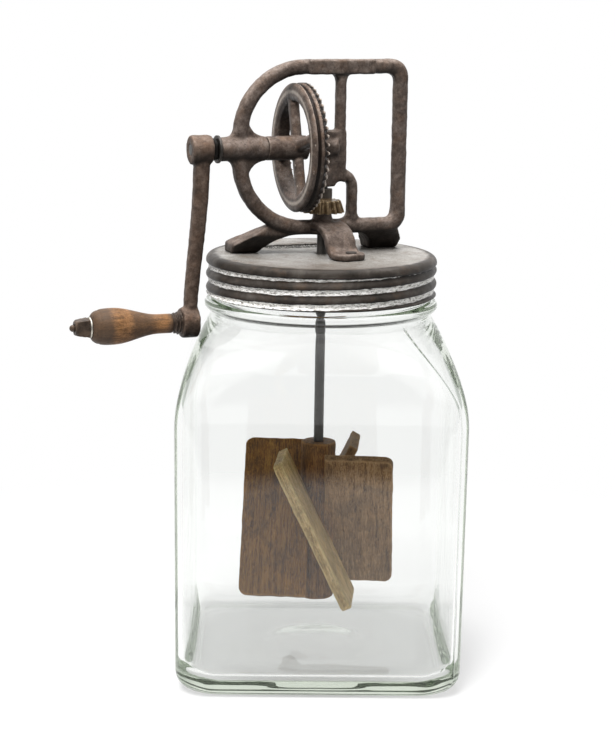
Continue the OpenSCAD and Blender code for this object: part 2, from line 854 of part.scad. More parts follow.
// The drive gear's rim, revolved about the crank's axis
module gear_rim() {
    groove = 1.2;
    on_crank(0)
        rotate_extrude()
            difference() {
                polygon([
                    [rim_in_r, rim_back_x + 1.5],
                    [rim_in_r + 2.5, rim_back_x],
                    [gear_r - 1.5, rim_back_x],
                    [gear_r, rim_back_x + 1.5],
                    [gear_r, gear_root_x],
                    [gear_in_r, root_slope * gear_in_r],
                    [rim_in_r, root_slope * gear_in_r]
                ]);
                translate([gear_r + groove / 2, (rim_back_x + gear_root_x) / 2])
                    circle(groove);
            }
}

// The four spokes are round-edged bars from the hub to the rim
module gear_spokes() {
    spoke_mid = rim_back_x + spoke_t / 2 + 0.5;
    reach = rim_in_r + 2;
    on_crank(spoke_mid)
        for (k = [0 : 3])
            rotate(spoke_turn + 90 * k)
                rotate([90, 0, 90])
                    linear_extrude(reach)
                        bar_section(spoke_w, spoke_t);
}

module drive_gear() {
    hub_end = root_slope * gear_in_r;
    color("#564c45")
        on_head()
            difference() {
                union() {
                    gear_rim();
                    gear_spokes();
                    on_crank(gear_hub_x)
                        cylinder(d = gear_hub_d, h = hub_end - gear_hub_x);
                    for (k = [0 : gear_teeth - 1])
                        translate([0, 0, crank_h])
                            rotate([360 * k / gear_teeth, 0, 0])
                                translate([0, 0, -crank_h])
                                    gear_tooth();
                }
                on_crank(gear_hub_x - 1)
                    cylinder(d = crank_d + 2 * seat_clear, h = hub_end - gear_hub_x + 2);
                gear_pin_hole();
            }
}

module gear_pin() {
    color("#3b3632")
        on_head()
            translate([gear_pin_x(), 0, crank_h - gear_hub_d / 2])
                cylinder(d = pin_d, h = gear_hub_d);
}

// Half the angle that one involute tooth takes at radius r
function involute(a) = tan(a) * 180 / PI - a;
function tooth_half_angle(r, pitch_r, teeth) =
    let (base_r = pitch_r * cos(pressure_angle))
        90 / teeth - backlash / (2 * pitch_r) * 90 / PI
            + involute(pressure_angle) - involute(acos(min(1, base_r / r)));

// Outline of the pinion at its foot, with a gap between two teeth towards the drive gear
function pinion_outline() =
    let (
        phase = 180 + 180 / pinion_teeth,
        base_r = pinion_pitch_r * cos(pressure_angle),
        root_r = pinion_pitch_r - tooth_dedendum * pinion_module,
        tip_r = pinion_pitch_r + tooth_addendum * pinion_module,
        radii = [root_r, base_r, pinion_pitch_r, (pinion_pitch_r + tip_r) / 2, tip_r]
    )
    [
        for (k = [0 : pinion_teeth - 1], side = [-1, 1], i = [0 : 4])
            let (
                r = radii[side < 0 ? i : 4 - i],
                a = phase + 360 * k / pinion_teeth + side * tooth_half_angle(r, pinion_pitch_r, pinion_teeth)
            )
                r * [cos(a), sin(a)]
    ];

module pinion() {
    color("#7a664a")
        on_head()
            difference() {
                union() {
                    translate([0, 0, pinion_z])
                        linear_extrude(pinion_h, scale = (pinion_drop - pinion_h) / pinion_drop)
                            polygon(pinion_outline());
                    translate([0, 0, pinion_z])
                        cylinder(d = pinion_hub_d, h = pinion_top_z - pinion_z);
                }
                translate([0, 0, pinion_z - 1])
                    cylinder(d = shaft_d + 2 * seat_clear, h = pinion_top_z - pinion_z + 2);
                pinion_pin_shape(pin_d + 2 * seat_clear, pinion_hub_d + 2);
            }
}

// The cross pin through the pinion's hub, hidden from the front by the drive gear
module pinion_pin_shape(d, l) {
    translate([0, 0, pinion_pin_z])
        rotate([0, 90, 50])
            cylinder(d = d, h = l, center = true);
}

module pinion_pin() {
    color("#3b3632")
        on_head()
            pinion_pin_shape(pin_d, pinion_hub_d);
}

module dasher_shaft() {
    color("#3a3836")
        on_head()
            difference() {
                translate([0, 0, shaft_bottom])
                    cylinder(d = shaft_d, h = shaft_top - shaft_bottom);
                pinion_pin_shape(pin_d + 2 * seat_clear, shaft_d + 2);
                hub_pin_shape(pin_d + 2 * seat_clear, shaft_d + 2);
            }
}

// The nail through the wooden hub and the shaft
module hub_pin_shape(d, l) {
    translate([0, 0, hub_pin_z])
        rotate([0, 90, paddle_turn])
            cylinder(d = d, h = l, center = true);
}

module hub_pin() {
    color("#3b3632")
        on_head()
            hub_pin_shape(pin_d, hub_d - 1);
}

// Turn of the front paddle in the head's own frame
paddle_turn = dasher_turn - head_turn;

// Places a shape drawn in a paddle's own plane: x runs outwards and y up the slope
module on_paddle(k) {
    rotate(paddle_turn + 90 * k - 90)
        translate([0, 0, hub_mid])
            rotate([90 + paddle_slope, 0, 0])
                children();
}

module paddle_outline() {
    r = paddle_corner_r;
    half = paddle_l / 2;
    translate([paddle_in_r, -half])
        square([paddle_r - paddle_in_r - r, paddle_l]);
    translate([paddle_in_r, -half + r])
        square([paddle_r - paddle_in_r, paddle_l - 2 * r]);
    for (s = [-1, 1])
        translate([paddle_r - r, s * (half - r)])
            circle(r);
}

// Paddle k is one quarter turn after the other, starting at the front
module paddle(k) {
    color("#6e4a2c")
        on_head()
            on_paddle(k)
                linear_extrude(paddle_t, center = true)
                    paddle_outline();
}

module dasher_hub() {
    color("#7b5431")
        on_head()
            difference() {
                translate([0, 0, hub_bottom])
                    cylinder(d = hub_d, h = hub_h);
                translate([0, 0, shaft_bottom - 0.5])
                    cylinder(d = shaft_d + 2 * seat_clear, h = hub_socket + 1);
                hub_pin_shape(pin_d + 2 * seat_clear, hub_d + 2);
                for (k = [0 : 3])
                    on_paddle(k)
                        linear_extrude(paddle_t + 2 * seat_clear, center = true)
                            translate([paddle_in_r - seat_clear, -paddle_l / 2 - 1])
                                square([hub_d, paddle_l + 2]);
            }
}

module handle_spindle() {
    color("#4a433d")
        on_head() {
            on_crank(grip_washer_x, handle_z)
                cylinder(d = spindle_d, h = pin_in_x - grip_washer_x);
            on_crank(nut_x, handle_z)
                cylinder(d = spindle_end_d, h = nut_l);
            on_crank(tip_x, handle_z)
                cylinder(d = tip_d, h = tip_l);
        }
}

// Half the grip's diameter at step u from 0 at its outer end to 1 at its ferrule
function grip_half(u) =
    let (
        belly = 0.26,
        neck = 0.85,
        outer = sqrt(1 - pow(max(0, belly - u) / belly, 3)),
        inner = (1 + cos(180 * min(1, (u - belly) / (neck - belly)))) / 2
    )
        u < belly
            ? (grip_end_d + (grip_d - grip_end_d) * outer) / 2
            : (grip_neck_d + (grip_d - grip_neck_d) * inner) / 2;

module handle_grip() {
    wood_l = grip_l - ferrule_l;
    steps = 28;
    color("#8a5a33")
        on_head()
            on_crank(grip_end_x, handle_z)
                difference() {
                    rotate_extrude()
                        polygon([
                            [0, 0],
                            for (i = [0 : steps]) [grip_half(i / steps), wood_l * i / steps],
                            [grip_neck_d / 2 - 1, wood_l],
                            [grip_neck_d / 2 - 1, grip_l],
                            [0, grip_l]
                        ]);
                    translate([0, 0, -1])
                        cylinder(d = spindle_d + 2 * run_clear, h = grip_l + 2);
                }
}

module grip_ferrule() {
    bead = 2.2;
    color("#3a332e")
        on_head()
            on_crank(ferrule_x - ferrule_l, handle_z)
                difference() {
                    union() {
                        cylinder(d1 = grip_neck_d, d2 = ferrule_d, h = ferrule_l - bead);
                        translate([0, 0, ferrule_l - bead])
                            cylinder(d = ferrule_d, h = bead);
                    }
                    translate([0, 0, -1])
                        cylinder(d = grip_neck_d - 2 + 2 * seat_clear, h = ferrule_l + 2);
                }
}

module grip_washer() {
    color("#cfc6b0")
        on_head()
            on_crank(grip_washer_x, handle_z)
                difference() {
                    cylinder(d = grip_end_d, h = grip_washer_t);
                    translate([0, 0, -1])
                        cylinder(d = spindle_d + 2 * seat_clear, h = grip_washer_t + 2);
                }
}

// A square nut with its outer corners turned down
module spindle_nut() {
    color("#3d3631")
        on_head()
            on_crank(nut_x, handle_z)
                difference() {
                    intersection() {
                        translate([-nut_w / 2, -nut_w / 2, 0])
                            cube([nut_w, nut_w, nut_l]);
                        cylinder(d1 = nut_w, d2 = nut_w + 2 * nut_l, h = nut_l);
                    }
                    translate([0, 0, -1])
                        cylinder(d = spindle_end_d + 2 * seat_clear, h = nut_l + 2);
                }
}

jar();
lid();
strainer_screen();
frame();
frame_rivets();
crank_shaft();
crank_washer();
crank_arm();
drive_gear();
gear_pin();
handle_spindle();
handle_grip();
grip_ferrule();
grip_washer();
spindle_nut();
pinion();
pinion_pin();
dasher_shaft();
dasher_hub();
hub_pin();
paddle(0);  // paddle_front
paddle(1);  // paddle_right
paddle(2);  // paddle_back
paddle(3);  // paddle_left
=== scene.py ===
# Looks of a hand-cranked butter churn on a square glass jar.
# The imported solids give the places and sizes.
# This script adds the glass, the tin, the castings and the wood.
import json
import math

import bmesh
import bpy
import numpy as np
from mathutils import Matrix, Vector


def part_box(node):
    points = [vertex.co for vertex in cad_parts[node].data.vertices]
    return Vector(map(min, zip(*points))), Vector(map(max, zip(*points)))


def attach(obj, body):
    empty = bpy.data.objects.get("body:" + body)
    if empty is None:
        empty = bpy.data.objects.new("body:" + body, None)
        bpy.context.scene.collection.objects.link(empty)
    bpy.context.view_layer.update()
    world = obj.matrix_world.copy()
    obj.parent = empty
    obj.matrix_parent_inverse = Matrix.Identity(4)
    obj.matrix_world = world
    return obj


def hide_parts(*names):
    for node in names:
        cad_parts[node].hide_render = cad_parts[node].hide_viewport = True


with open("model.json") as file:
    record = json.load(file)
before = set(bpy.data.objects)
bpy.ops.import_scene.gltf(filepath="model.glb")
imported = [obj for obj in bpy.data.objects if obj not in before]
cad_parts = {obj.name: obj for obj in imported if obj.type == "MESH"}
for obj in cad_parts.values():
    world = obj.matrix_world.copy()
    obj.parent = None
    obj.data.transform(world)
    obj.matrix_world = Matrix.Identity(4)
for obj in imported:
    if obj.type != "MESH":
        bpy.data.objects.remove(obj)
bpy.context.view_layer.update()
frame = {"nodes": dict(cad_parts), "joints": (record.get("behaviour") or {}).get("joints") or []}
nodes = frame["nodes"]
joints = {joint["name"]: joint for joint in frame["joints"]}
scene = bpy.context.scene

MM = 0.001


def points(mesh, kind="co"):
    """The mesh's points or normals as rows."""
    rows = np.empty(len(mesh.vertices) * 3)
    mesh.vertices.foreach_get(kind, rows)
    return rows.reshape(-1, 3)


def reach(node, way):
    """How far a solid reaches along a direction, lowest and highest, in mm."""
    along = points(nodes[node].data) @ np.array(way) / MM
    return float(along.min()), float(along.max())


# Places taken from the frame, in mm
CRANK_WAY = joints["crank_turn"]["axis"]
TURN = math.atan2(CRANK_WAY[1], CRANK_WAY[0])
LID_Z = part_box("lid")[1][2] / MM
HANDLE_Z = joints["grip_spin"]["pos_m"][2] / MM
CRANK_Z = joints["crank_turn"]["pos_m"][2] / MM
GRIP_X = reach("handle_grip", CRANK_WAY)
FERRULE_X = reach("grip_ferrule", CRANK_WAY)
SPINDLE_X = reach("handle_spindle", CRANK_WAY)
NUT_X = reach("spindle_nut", CRANK_WAY)
PINION_Z = reach("pinion", (0, 0, 1))

# The crank's black neck beside its collar, in mm: its length, its lap on the collar, and where it lies
ARM_NECK = 3.6
COLLAR_LAP = 0.5
NECK_X = (reach("crank_arm", CRANK_WAY)[1] - ARM_NECK, reach("crank_washer", CRANK_WAY)[0] + COLLAR_LAP)

# The strainer's slot on the head and the lid's rolled rib, in mm
SLOT_Y = 32.5
SLOT_HALF = 17.5
SLOT_R = 8.5
RIB_PITCH = 8.3
RIB_START = 20.8


def head(x, y, z):
    """A point of the turned head, in mm with the lid's top at z = 0, as a point of the shared frame."""
    c, s = math.cos(TURN), math.sin(TURN)
    return (c * x - s * y, s * x + c * y, z + LID_Z)


# Curve helpers

def between(a, b, t):
    """The value at step t from a at 0 to b at 1."""
    return a + (b - a) * t


def clamp(x):
    """The value kept between 0 and 1."""
    return min(1.0, max(0.0, x))


def ease(a, b, x):
    """A soft step from 0 at a to 1 at b."""
    t = clamp((x - a) / (b - a))
    return t * t * (3 - 2 * t)


def nearest(value, pitch):
    """How far a value lies past the nearest multiple of the pitch, or before it if negative."""
    return (value + pitch / 2) % pitch - pitch / 2


# Mesh helpers

def new_object(name, verts, faces, smooth=True):
    """An object from points in mm, with its faces turned outwards."""
    mesh = bpy.data.meshes.new(name)
    mesh.from_pydata([tuple(c * MM for c in v) for v in verts], [], faces)
    mesh.validate()
    bm = bmesh.new()
    bm.from_mesh(mesh)
    bmesh.ops.recalc_face_normals(bm, faces=bm.faces)
    bm.to_mesh(mesh)
    bm.free()
    obj = bpy.data.objects.new(name, mesh)
    scene.collection.objects.link(obj)
    if smooth:
        mesh.shade_smooth()
    return obj


def skin(rings, closed=False):
    """Points and faces of a skin through rings of points.

    Closed joins the last ring to the first, and otherwise both get a cap.
    """
    m, n = len(rings), len(rings[0])
    verts = [p for ring in rings for p in ring]
    faces = []
    for k in range(m if closed else m - 1):
        a, b = k * n, (k + 1) % m * n
        for i in range(n):
            j = (i + 1) % n
            faces.append((a + i, a + j, b + j, b + i))
    if not closed:
        faces += [tuple(range(n)), tuple(range(len(verts) - 1, len(verts) - n - 1, -1))]
    return verts, faces


def bake(obj):
    """Applies the object's modifiers and keeps the result as its mesh."""
    deps = bpy.context.evaluated_depsgraph_get()
    mesh = bpy.data.meshes.new_from_object(obj.evaluated_get(deps))
    obj.modifiers.clear()
    old = obj.data
    obj.data = mesh
    bpy.data.meshes.remove(old)


def set_points(mesh, co):
    """Moves the mesh's points to new places."""
    mesh.vertices.foreach_set("co", co.ravel())
    mesh.update()


def mark_points(mesh, name, values):
    """Keeps one number per point for the materials."""
    mesh.attributes.new(name, "FLOAT", "POINT").data.foreach_set("value", values.astype(np.float32))


def mark_up(mesh):
    """Keeps how far the surface faces up, from -1 to 1."""
    mark_points(mesh, "up", points(mesh, "normal")[:, 2])


def cast_copy(node, name, voxel, rounds, swell=0.0, lump=0.0, lump_size=6.0):
    """A copy of a solid with a casting's round edges.

    It is remeshed at voxel mm, smoothed in rounds, let out by swell mm and made uneven by lump mm.
    """
    obj = bpy.data.objects.new(name, nodes[node].data.copy())
    scene.collection.objects.link(obj)
    remesh = obj.modifiers.new("remesh", "REMESH")
    remesh.mode = "VOXEL"
    remesh.voxel_size = voxel * MM
    relax = obj.modifiers.new("relax", "SMOOTH")
    relax.factor = 0.5
    relax.iterations = rounds
    bake(obj)
    push_out(obj, swell, lump, lump_size)
    obj.data.shade_smooth()
    mark_up(obj.data)
    return obj


# Random waves that make a surface uneven: how many, their rates for one size, their fading and their spread
LUMPS = dict(seed=7, waves=14, slow=0.6, fast=1.8, phase=6.28, fade=0.15, spread=3)


def push_out(obj, swell, lump, size):
    """Moves the points along their normals: by swell, and by lump in a soft pattern of that size, in mm."""
    u = LUMPS
    co = points(obj.data)
    rng = np.random.default_rng(u["seed"])
    push = np.zeros(len(co))
    for k in range(u["waves"]):
        wave = rng.normal(size=3)
        wave *= rng.uniform(u["slow"], u["fast"]) * 2 * math.pi / (size * MM) / np.linalg.norm(wave)
        push += np.sin(co @ wave + rng.uniform(0, u["phase"])) / (1 + u["fade"] * k)
    push = (swell + push * lump / u["spread"]) * MM
    set_points(obj.data, co + points(obj.data, "normal") * push[:, None])


def taper(obj, start, end, small, large):
    """Scales a piece of the handle across its axis, from small at x = start mm to large at x = end mm."""
    co = points(obj.data)
    way = np.array(CRANK_WAY)
    axis = np.outer(co @ way, way) + np.array((0, 0, HANDLE_Z * MM))
    step = np.clip((co @ way / MM - start) / (end - start), 0, 1)
    set_points(obj.data, axis + (co - axis) * between(small, large, step)[:, None])


def put(obj, body, material, node):
    """Gives the piece its material and its body, and hides the solid that it stands for."""
    obj.data.materials.clear()
    obj.data.materials.append(material)
    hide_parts(node)
    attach(obj, body)


def paint(node, material):
    """Gives a solid that stays in view its material."""
    obj = nodes[node]
    if not obj.material_slots:
        obj.data.materials.append(material)
    for s in obj.material_slots:
        s.material = material


# Shader helpers

def upright(way):
    """The turn that brings a direction to local z."""
    return tuple(Vector(way).rotation_difference(Vector((0, 0, 1))).to_euler())


def times(colour, k):
    """A colour made darker or lighter."""
    return tuple(min(1.0, k * c) for c in colour)


class Nodes:
    """Short ways to add nodes to a node tree."""

    # Sockets of a Mix node that mixes colours
    MIX_SHARE, MIX_A, MIX_B, MIX_RESULT = 0, 6, 7, 2

    def __init__(self, tree):
        self.tree = tree
        self.place = self.add("TexCoord", "Object")

    def plug(self, value, socket):
        """Links an output to the socket, or sets the socket to a value."""
        if isinstance(value, bpy.types.NodeSocket):
            self.tree.links.new(value, socket)
        elif isinstance(value, tuple) and len(value) == 3 and socket.type == "RGBA":
            socket.default_value = (*value, 1)
        else:
            socket.default_value = value

    def add(self, kind, out=0, **sockets):
        """One output of a new node with its sockets filled."""
        node = self.tree.nodes.new("ShaderNode" + kind)
        for key, value in sockets.items():
            self.plug(value, node.inputs[key])
        return node.outputs[out]

    def stretch(self, scale=(1, 1, 1), turn=(0, 0, 0), shift=(0, 0, 0)):
        """The place turned first and then scaled, so that a long scale follows the turned axes."""
        turned_place = self.add("Mapping", Vector=self.place, Rotation=turn, Location=shift)
        return self.add("Mapping", Vector=turned_place, Scale=scale)

    def noise(self, scale, detail=5.0, rough=0.6, distort=0.0, at=None):
        """Soft random values at the place, or at another vector."""
        return self.add("TexNoise", Vector=at or self.place, Scale=scale, Detail=detail, Roughness=rough,
                        Distortion=distort)

    def parts(self, vector=None):
        """The X, Y and Z of a vector, or else of the place."""
        node = self.tree.nodes.new("ShaderNodeSeparateXYZ")
        self.plug(vector or self.place, node.inputs[0])
        return node.outputs

    def mark(self, name):
        """The number that mark_points kept under a name."""
        node = self.tree.nodes.new("ShaderNodeAttribute")
        node.attribute_name = name
        return node.outputs["Fac"]

    def rays(self, *kinds):
        """1 for a ray of one of the kinds, otherwise 0."""
        path = self.tree.nodes.new("ShaderNodeLightPath")
        hit = path.outputs["Is %s Ray" % kinds[0]]
        for kind in kinds[1:]:
            hit = self.calc("MAXIMUM", hit, path.outputs["Is %s Ray" % kind])
        return hit

    def ramp(self, fac, *stops):
        """A colour or a grey from stops of a place and what it gives there."""
        node = self.tree.nodes.new("ShaderNodeValToRGB")
        self.plug(fac, node.inputs["Fac"])
        marks = node.color_ramp.elements
        while len(marks) < len(stops):
            marks.new(0.5)
        for mark, (at, colour) in zip(marks, stops):
            mark.position = at
            mark.color = (*colour, 1) if isinstance(colour, tuple) else (colour, colour, colour, 1)
        return node.outputs["Color"]

    def mix(self, fac, a, b, how="MIX"):
        """Colour a with a share of colour b, mixed or blended."""
        node = self.tree.nodes.new("ShaderNodeMix")
        node.data_type = "RGBA"
        node.blend_type = how
        self.plug(fac, node.inputs[self.MIX_SHARE])
        self.plug(a, node.inputs[self.MIX_A])
        self.plug(b, node.inputs[self.MIX_B])
        return node.outputs[self.MIX_RESULT]

    def calc(self, how, a, b=0.0):
        """One step of arithmetic."""
        node = self.tree.nodes.new("ShaderNodeMath")
        node.operation = how
        self.plug(a, node.inputs[0])
        self.plug(b, node.inputs[1])
        return node.outputs[0]

    def ragged(self, value, noise, amount):
        """A value made uneven by a noise."""
        return self.calc("ADD", value, self.calc("MULTIPLY", self.calc("SUBTRACT", noise, 0.5), amount))

    def unit(self, value):
        """A value between -1 and 1, moved to between 0 and 1."""
        return self.calc("ADD", self.calc("MULTIPLY", value, 0.5), 0.5)

    def step(self, value, start, end):
        """How far a value in m has come from start to end, which are in mm: 0 at start and 1 at end."""
        return self.calc("MULTIPLY", self.calc("SUBTRACT", value, start * MM), 1 / ((end - start) * MM))

    def edges(self):
        """Above 0.5 on outer edges, and below 0.5 in hollows."""
        node = self.tree.nodes.new("ShaderNodeNewGeometry")
        return node.outputs["Pointiness"]

    def bump(self, height, strength, distance, under=None):
        """A bump with its depth in mm, on top of another one if given."""
        node = self.tree.nodes.new("ShaderNodeBump")
        self.plug(height, node.inputs["Height"])
        node.inputs["Strength"].default_value = strength
        node.inputs["Distance"].default_value = distance * MM
        if under:
            self.plug(under, node.inputs["Normal"])
        return node.outputs["Normal"]


class Shade(Nodes):
    """A new material of one principled surface."""

    def __init__(self, name):
        self.material = bpy.data.materials.new(name)
        self.material.use_nodes = True
        super().__init__(self.material.node_tree)
        self.surface = self.tree.nodes["Principled BSDF"]

    def set(self, socket, value):
        """Links or sets a socket of the surface."""
        self.plug(value, self.surface.inputs[socket])


# Materials

# Near-black painted on the crank's neck beside its collar
NECK_BLACK = (0.006, 0.005, 0.004)


def iron_material(name, dark, mid, light, rust, wear_and_glint, gloss=0.0, darkening=None, toothed=False):
    """Old cast iron: blotchy and brown, rust in places, edges lighter partly from wear and partly as
    painted highlight, and painted shade in hollows and on undersides.

    Given a span along the crank's axis in mm, it is painted near-black between its two ends.
    Toothed uses the marks of shape_gear.
    """
    s = Shade(name)
    blotch = s.noise(130, 8, 0.76, 0.3)
    tone = s.ramp(blotch, (0.26, dark), (0.50, mid), (0.72, light))
    rusty = s.noise(130, 6, 0.72, at=s.stretch(shift=(0.3, 0.1, 0.7)))
    tone = s.mix(s.ramp(rusty, (0.50, 0.0), (0.68, 0.5)), tone, rust)
    grain = s.noise(620, 5, 0.75)
    tone = s.mix(s.ramp(grain, (0.34, 0.5), (0.48, 0.0)), tone, times(dark, 0.6))
    tone = s.mix(s.ramp(grain, (0.56, 0.0), (0.72, 0.22)), tone, wear_and_glint)
    edge = s.ragged(s.edges(), s.noise(240, 5, 0.7), 0.08)
    # Outer edges lighter: partly wear, partly painted highlight
    tone = s.mix(s.ramp(edge, (0.52, 0.0), (0.62, 0.5)), tone, wear_and_glint)
    # Painted shade: hollows, where the pointiness is low, darkened towards near-black
    tone = s.mix(s.ramp(edge, (0.40, 0.85), (0.49, 0.0)), tone, times(dark, 0.3))
    # Painted shade: the tone is multiplied by how far the surface faces up, from a tenth on undersides to
    # full on tops
    up = s.ragged(s.unit(s.mark("up")), s.noise(200, 4, 0.6), 0.15)
    tone = s.mix(1.0, tone, s.ramp(up, (0.14, 0.10), (0.42, 0.46), (0.54, 0.66), (0.75, 1.0)), "MULTIPLY")
    if toothed:
        # Tooth tips lighter, partly wear and partly painted highlight, and a painted highlight line round
        # the rim
        rubbed_and_glint = s.ragged(s.mark("rubbed_and_glint"), s.noise(500, 4, 0.7), 0.5)
        tone = s.mix(s.ramp(rubbed_and_glint, (0.25, 0.0), (0.75, 0.6)), tone, wear_and_glint)
        # Painted shade in the rim's groove and at the tooth roots
        tone = s.mix(s.ramp(s.mark("hollow"), (0.25, 0.0), (0.70, 0.92)), tone, times(dark, 0.3))
    # Near-black painted on the crank's neck, between the two given places along the crank's axis
    if darkening:
        start, end = (place * MM for place in darkening)
        along = s.parts(s.stretch(turn=upright(CRANK_WAY)))["Z"]
        inside = s.calc("MULTIPLY", s.calc("GREATER_THAN", along, start), s.calc("LESS_THAN", along, end))
        tone = s.mix(inside, tone, NECK_BLACK)
    s.set("Base Color", tone)
    s.set("Metallic", 0.15)
    s.set("Specular IOR Level", 0.25)
    s.set("Roughness", s.ramp(s.noise(190, 5, 0.6), (0.3, 0.44 - gloss), (0.7, 0.64 - gloss)))
    rough = s.bump(s.noise(1100, 3, 0.6), 0.45, 0.15)
    s.set("Normal", s.bump(s.noise(300, 5, 0.65), 0.6, 0.45, rough))
    return s.material


def pinion_material(name):
    """Brass-brown teeth with painted highlights on their edges and painted shade between them, below a dark
    upper hub.
    """
    s = Shade(name)
    tone = s.ramp(s.noise(260, 6, 0.65, 0.3), (0.32, (0.060, 0.038, 0.019)), (0.52, (0.19, 0.130, 0.070)),
                  (0.72, (0.36, 0.265, 0.150)))
    edge = s.edges()
    # Painted highlight: outer edges lighter towards gold
    tone = s.mix(s.ramp(edge, (0.52, 0.0), (0.60, 0.9)), tone, (0.62, 0.50, 0.32))
    # Painted shade: hollows between the teeth darkened to near-black
    tone = s.mix(s.ramp(edge, (0.40, 0.95), (0.49, 0.0)), tone, (0.010, 0.007, 0.005))
    height = s.step(s.parts()["Z"], *PINION_Z)
    tone = s.mix(s.ramp(height, (0.56, 0.0), (0.66, 0.9)), tone, (0.055, 0.048, 0.042))
    s.set("Base Color", tone)
    s.set("Metallic", 0.6)
    s.set("Roughness", s.ramp(s.noise(300, 4, 0.6), (0.3, 0.28), (0.7, 0.5)))
    s.set("Normal", s.bump(s.noise(900, 4, 0.6), 0.35, 0.15))
    return s.material


def tin_material(name):
    """Aged tinplate: pale mottled top, dark brown edge and ribs, bright scratched tin beside the ribs, and
    painted shade on faces turned down.

    It uses the marks of make_lid.
    """
    s = Shade(name)
    blotch = s.noise(42, 8, 0.75, 0.4)
    side = s.ramp(blotch, (0.30, (0.010, 0.008, 0.006)), (0.50, (0.036, 0.030, 0.025)),
                  (0.70, (0.092, 0.080, 0.070)))
    top = s.ramp(blotch, (0.30, (0.15, 0.132, 0.112)), (0.48, (0.29, 0.274, 0.252)),
                 (0.66, (0.42, 0.406, 0.385)))
    stain = s.ramp(s.noise(85, 7, 0.75, at=s.stretch(shift=(2, 1, 0))), (0.50, 0.0), (0.66, 0.65))
    top = s.mix(stain, top, (0.150, 0.108, 0.076))
    speck = s.ramp(s.noise(1000, 4, 0.75), (0.55, 0.0), (0.68, 0.6))
    top = s.mix(speck, top, (0.74, 0.72, 0.69))
    pits = s.ramp(s.noise(1200, 3, 0.7, at=s.stretch(shift=(0, 3, 1))), (0.36, 0.8), (0.47, 0.0))
    top = s.mix(pits, top, (0.080, 0.062, 0.048))
    side = s.mix(s.ramp(s.noise(60, 6, 0.7), (0.52, 0.0), (0.68, 0.6)), side, (0.085, 0.056, 0.038))
    crown = s.ramp(s.ragged(s.mark("crown"), s.noise(120, 7, 0.75), 0.9), (0.30, 0.0), (0.62, 1.0))
    front = s.ragged(s.calc("MULTIPLY", s.parts()["Y"], -1.0), s.noise(70, 7, 0.75), 0.035)
    top = s.mix(s.ramp(front, (0.036, 0.0), (0.066, 0.85)), top, (0.100, 0.078, 0.062))
    tone = s.mix(crown, side, top)
    # Painted shade: faces turned down, as under the ribs, darkened to a quarter
    tone = s.mix(1.0, tone, s.ramp(s.unit(s.mark("up")), (0.20, 0.25), (0.50, 0.95)), "MULTIPLY")
    streak = s.mark("streak")
    rub = s.noise(75, 10, 0.82, at=s.stretch((1, 1, 6.0)))
    bright = s.ramp(s.ragged(streak, rub, 2.4), (0.47, 0.0), (0.60, 1.0))
    bright = s.calc("MULTIPLY", bright, s.ramp(streak, (0.02, 0.0), (0.16, 1.0)))
    scratch = s.noise(330, 6, 0.8, at=s.stretch((1, 1, 4.0)))
    bright = s.calc("MULTIPLY", bright, s.ramp(scratch, (0.36, 0.0), (0.47, 1.0)))
    tone = s.mix(bright, tone, s.ramp(scratch, (0.42, (0.45, 0.43, 0.39)), (0.54, (1.0, 0.99, 0.96))))
    s.set("Base Color", tone)
    s.set("Metallic", 0.1)
    s.set("Specular IOR Level", 0.18)
    s.set("Roughness", s.ramp(s.noise(220, 5, 0.65), (0.3, 0.32), (0.7, 0.50)))
    fine = s.bump(s.noise(1300, 3, 0.6), 0.35, 0.08)
    s.set("Normal", s.bump(s.noise(60, 4, 0.5), 0.3, 0.4, fine))
    return s.material


def steel_material(name, dark, light, metallic=0.75, rough=(0.35, 0.6)):
    """Plain iron or steel with a thin uneven oxide skin."""
    s = Shade(name)
    tone = s.ramp(s.noise(220, 6, 0.65, 0.3), (0.32, dark), (0.70, light))
    tone = s.mix(s.ramp(s.edges(), (0.52, 0.0), (0.60, 0.6)), tone, times(light, 1.7))
    s.set("Base Color", tone)
    s.set("Metallic", metallic)
    s.set("Roughness", s.ramp(s.noise(400, 4, 0.6), (0.3, rough[0]), (0.7, rough[1])))
    s.set("Normal", s.bump(s.noise(800, 4, 0.6), 0.25, 0.12))
    return s.material


def wire_material(name):
    """Near-black woven wire with bright spots: the dark wire is painted shade for the dark inside under the
    slot, and the spots are painted glints.
    """
    s = Shade(name)
    # Painted glints: bright spots on the near-black wire
    wear_and_glint = s.ramp(s.noise(800, 4, 0.75), (0.52, 0.0), (0.60, 1.0))
    s.set("Base Color", s.mix(wear_and_glint, (0.018, 0.015, 0.012), (0.70, 0.68, 0.63)))
    s.set("Metallic", 0.4)
    s.set("Roughness", s.ramp(s.noise(500, 3, 0.6), (0.3, 0.35), (0.7, 0.6)))
    return s.material


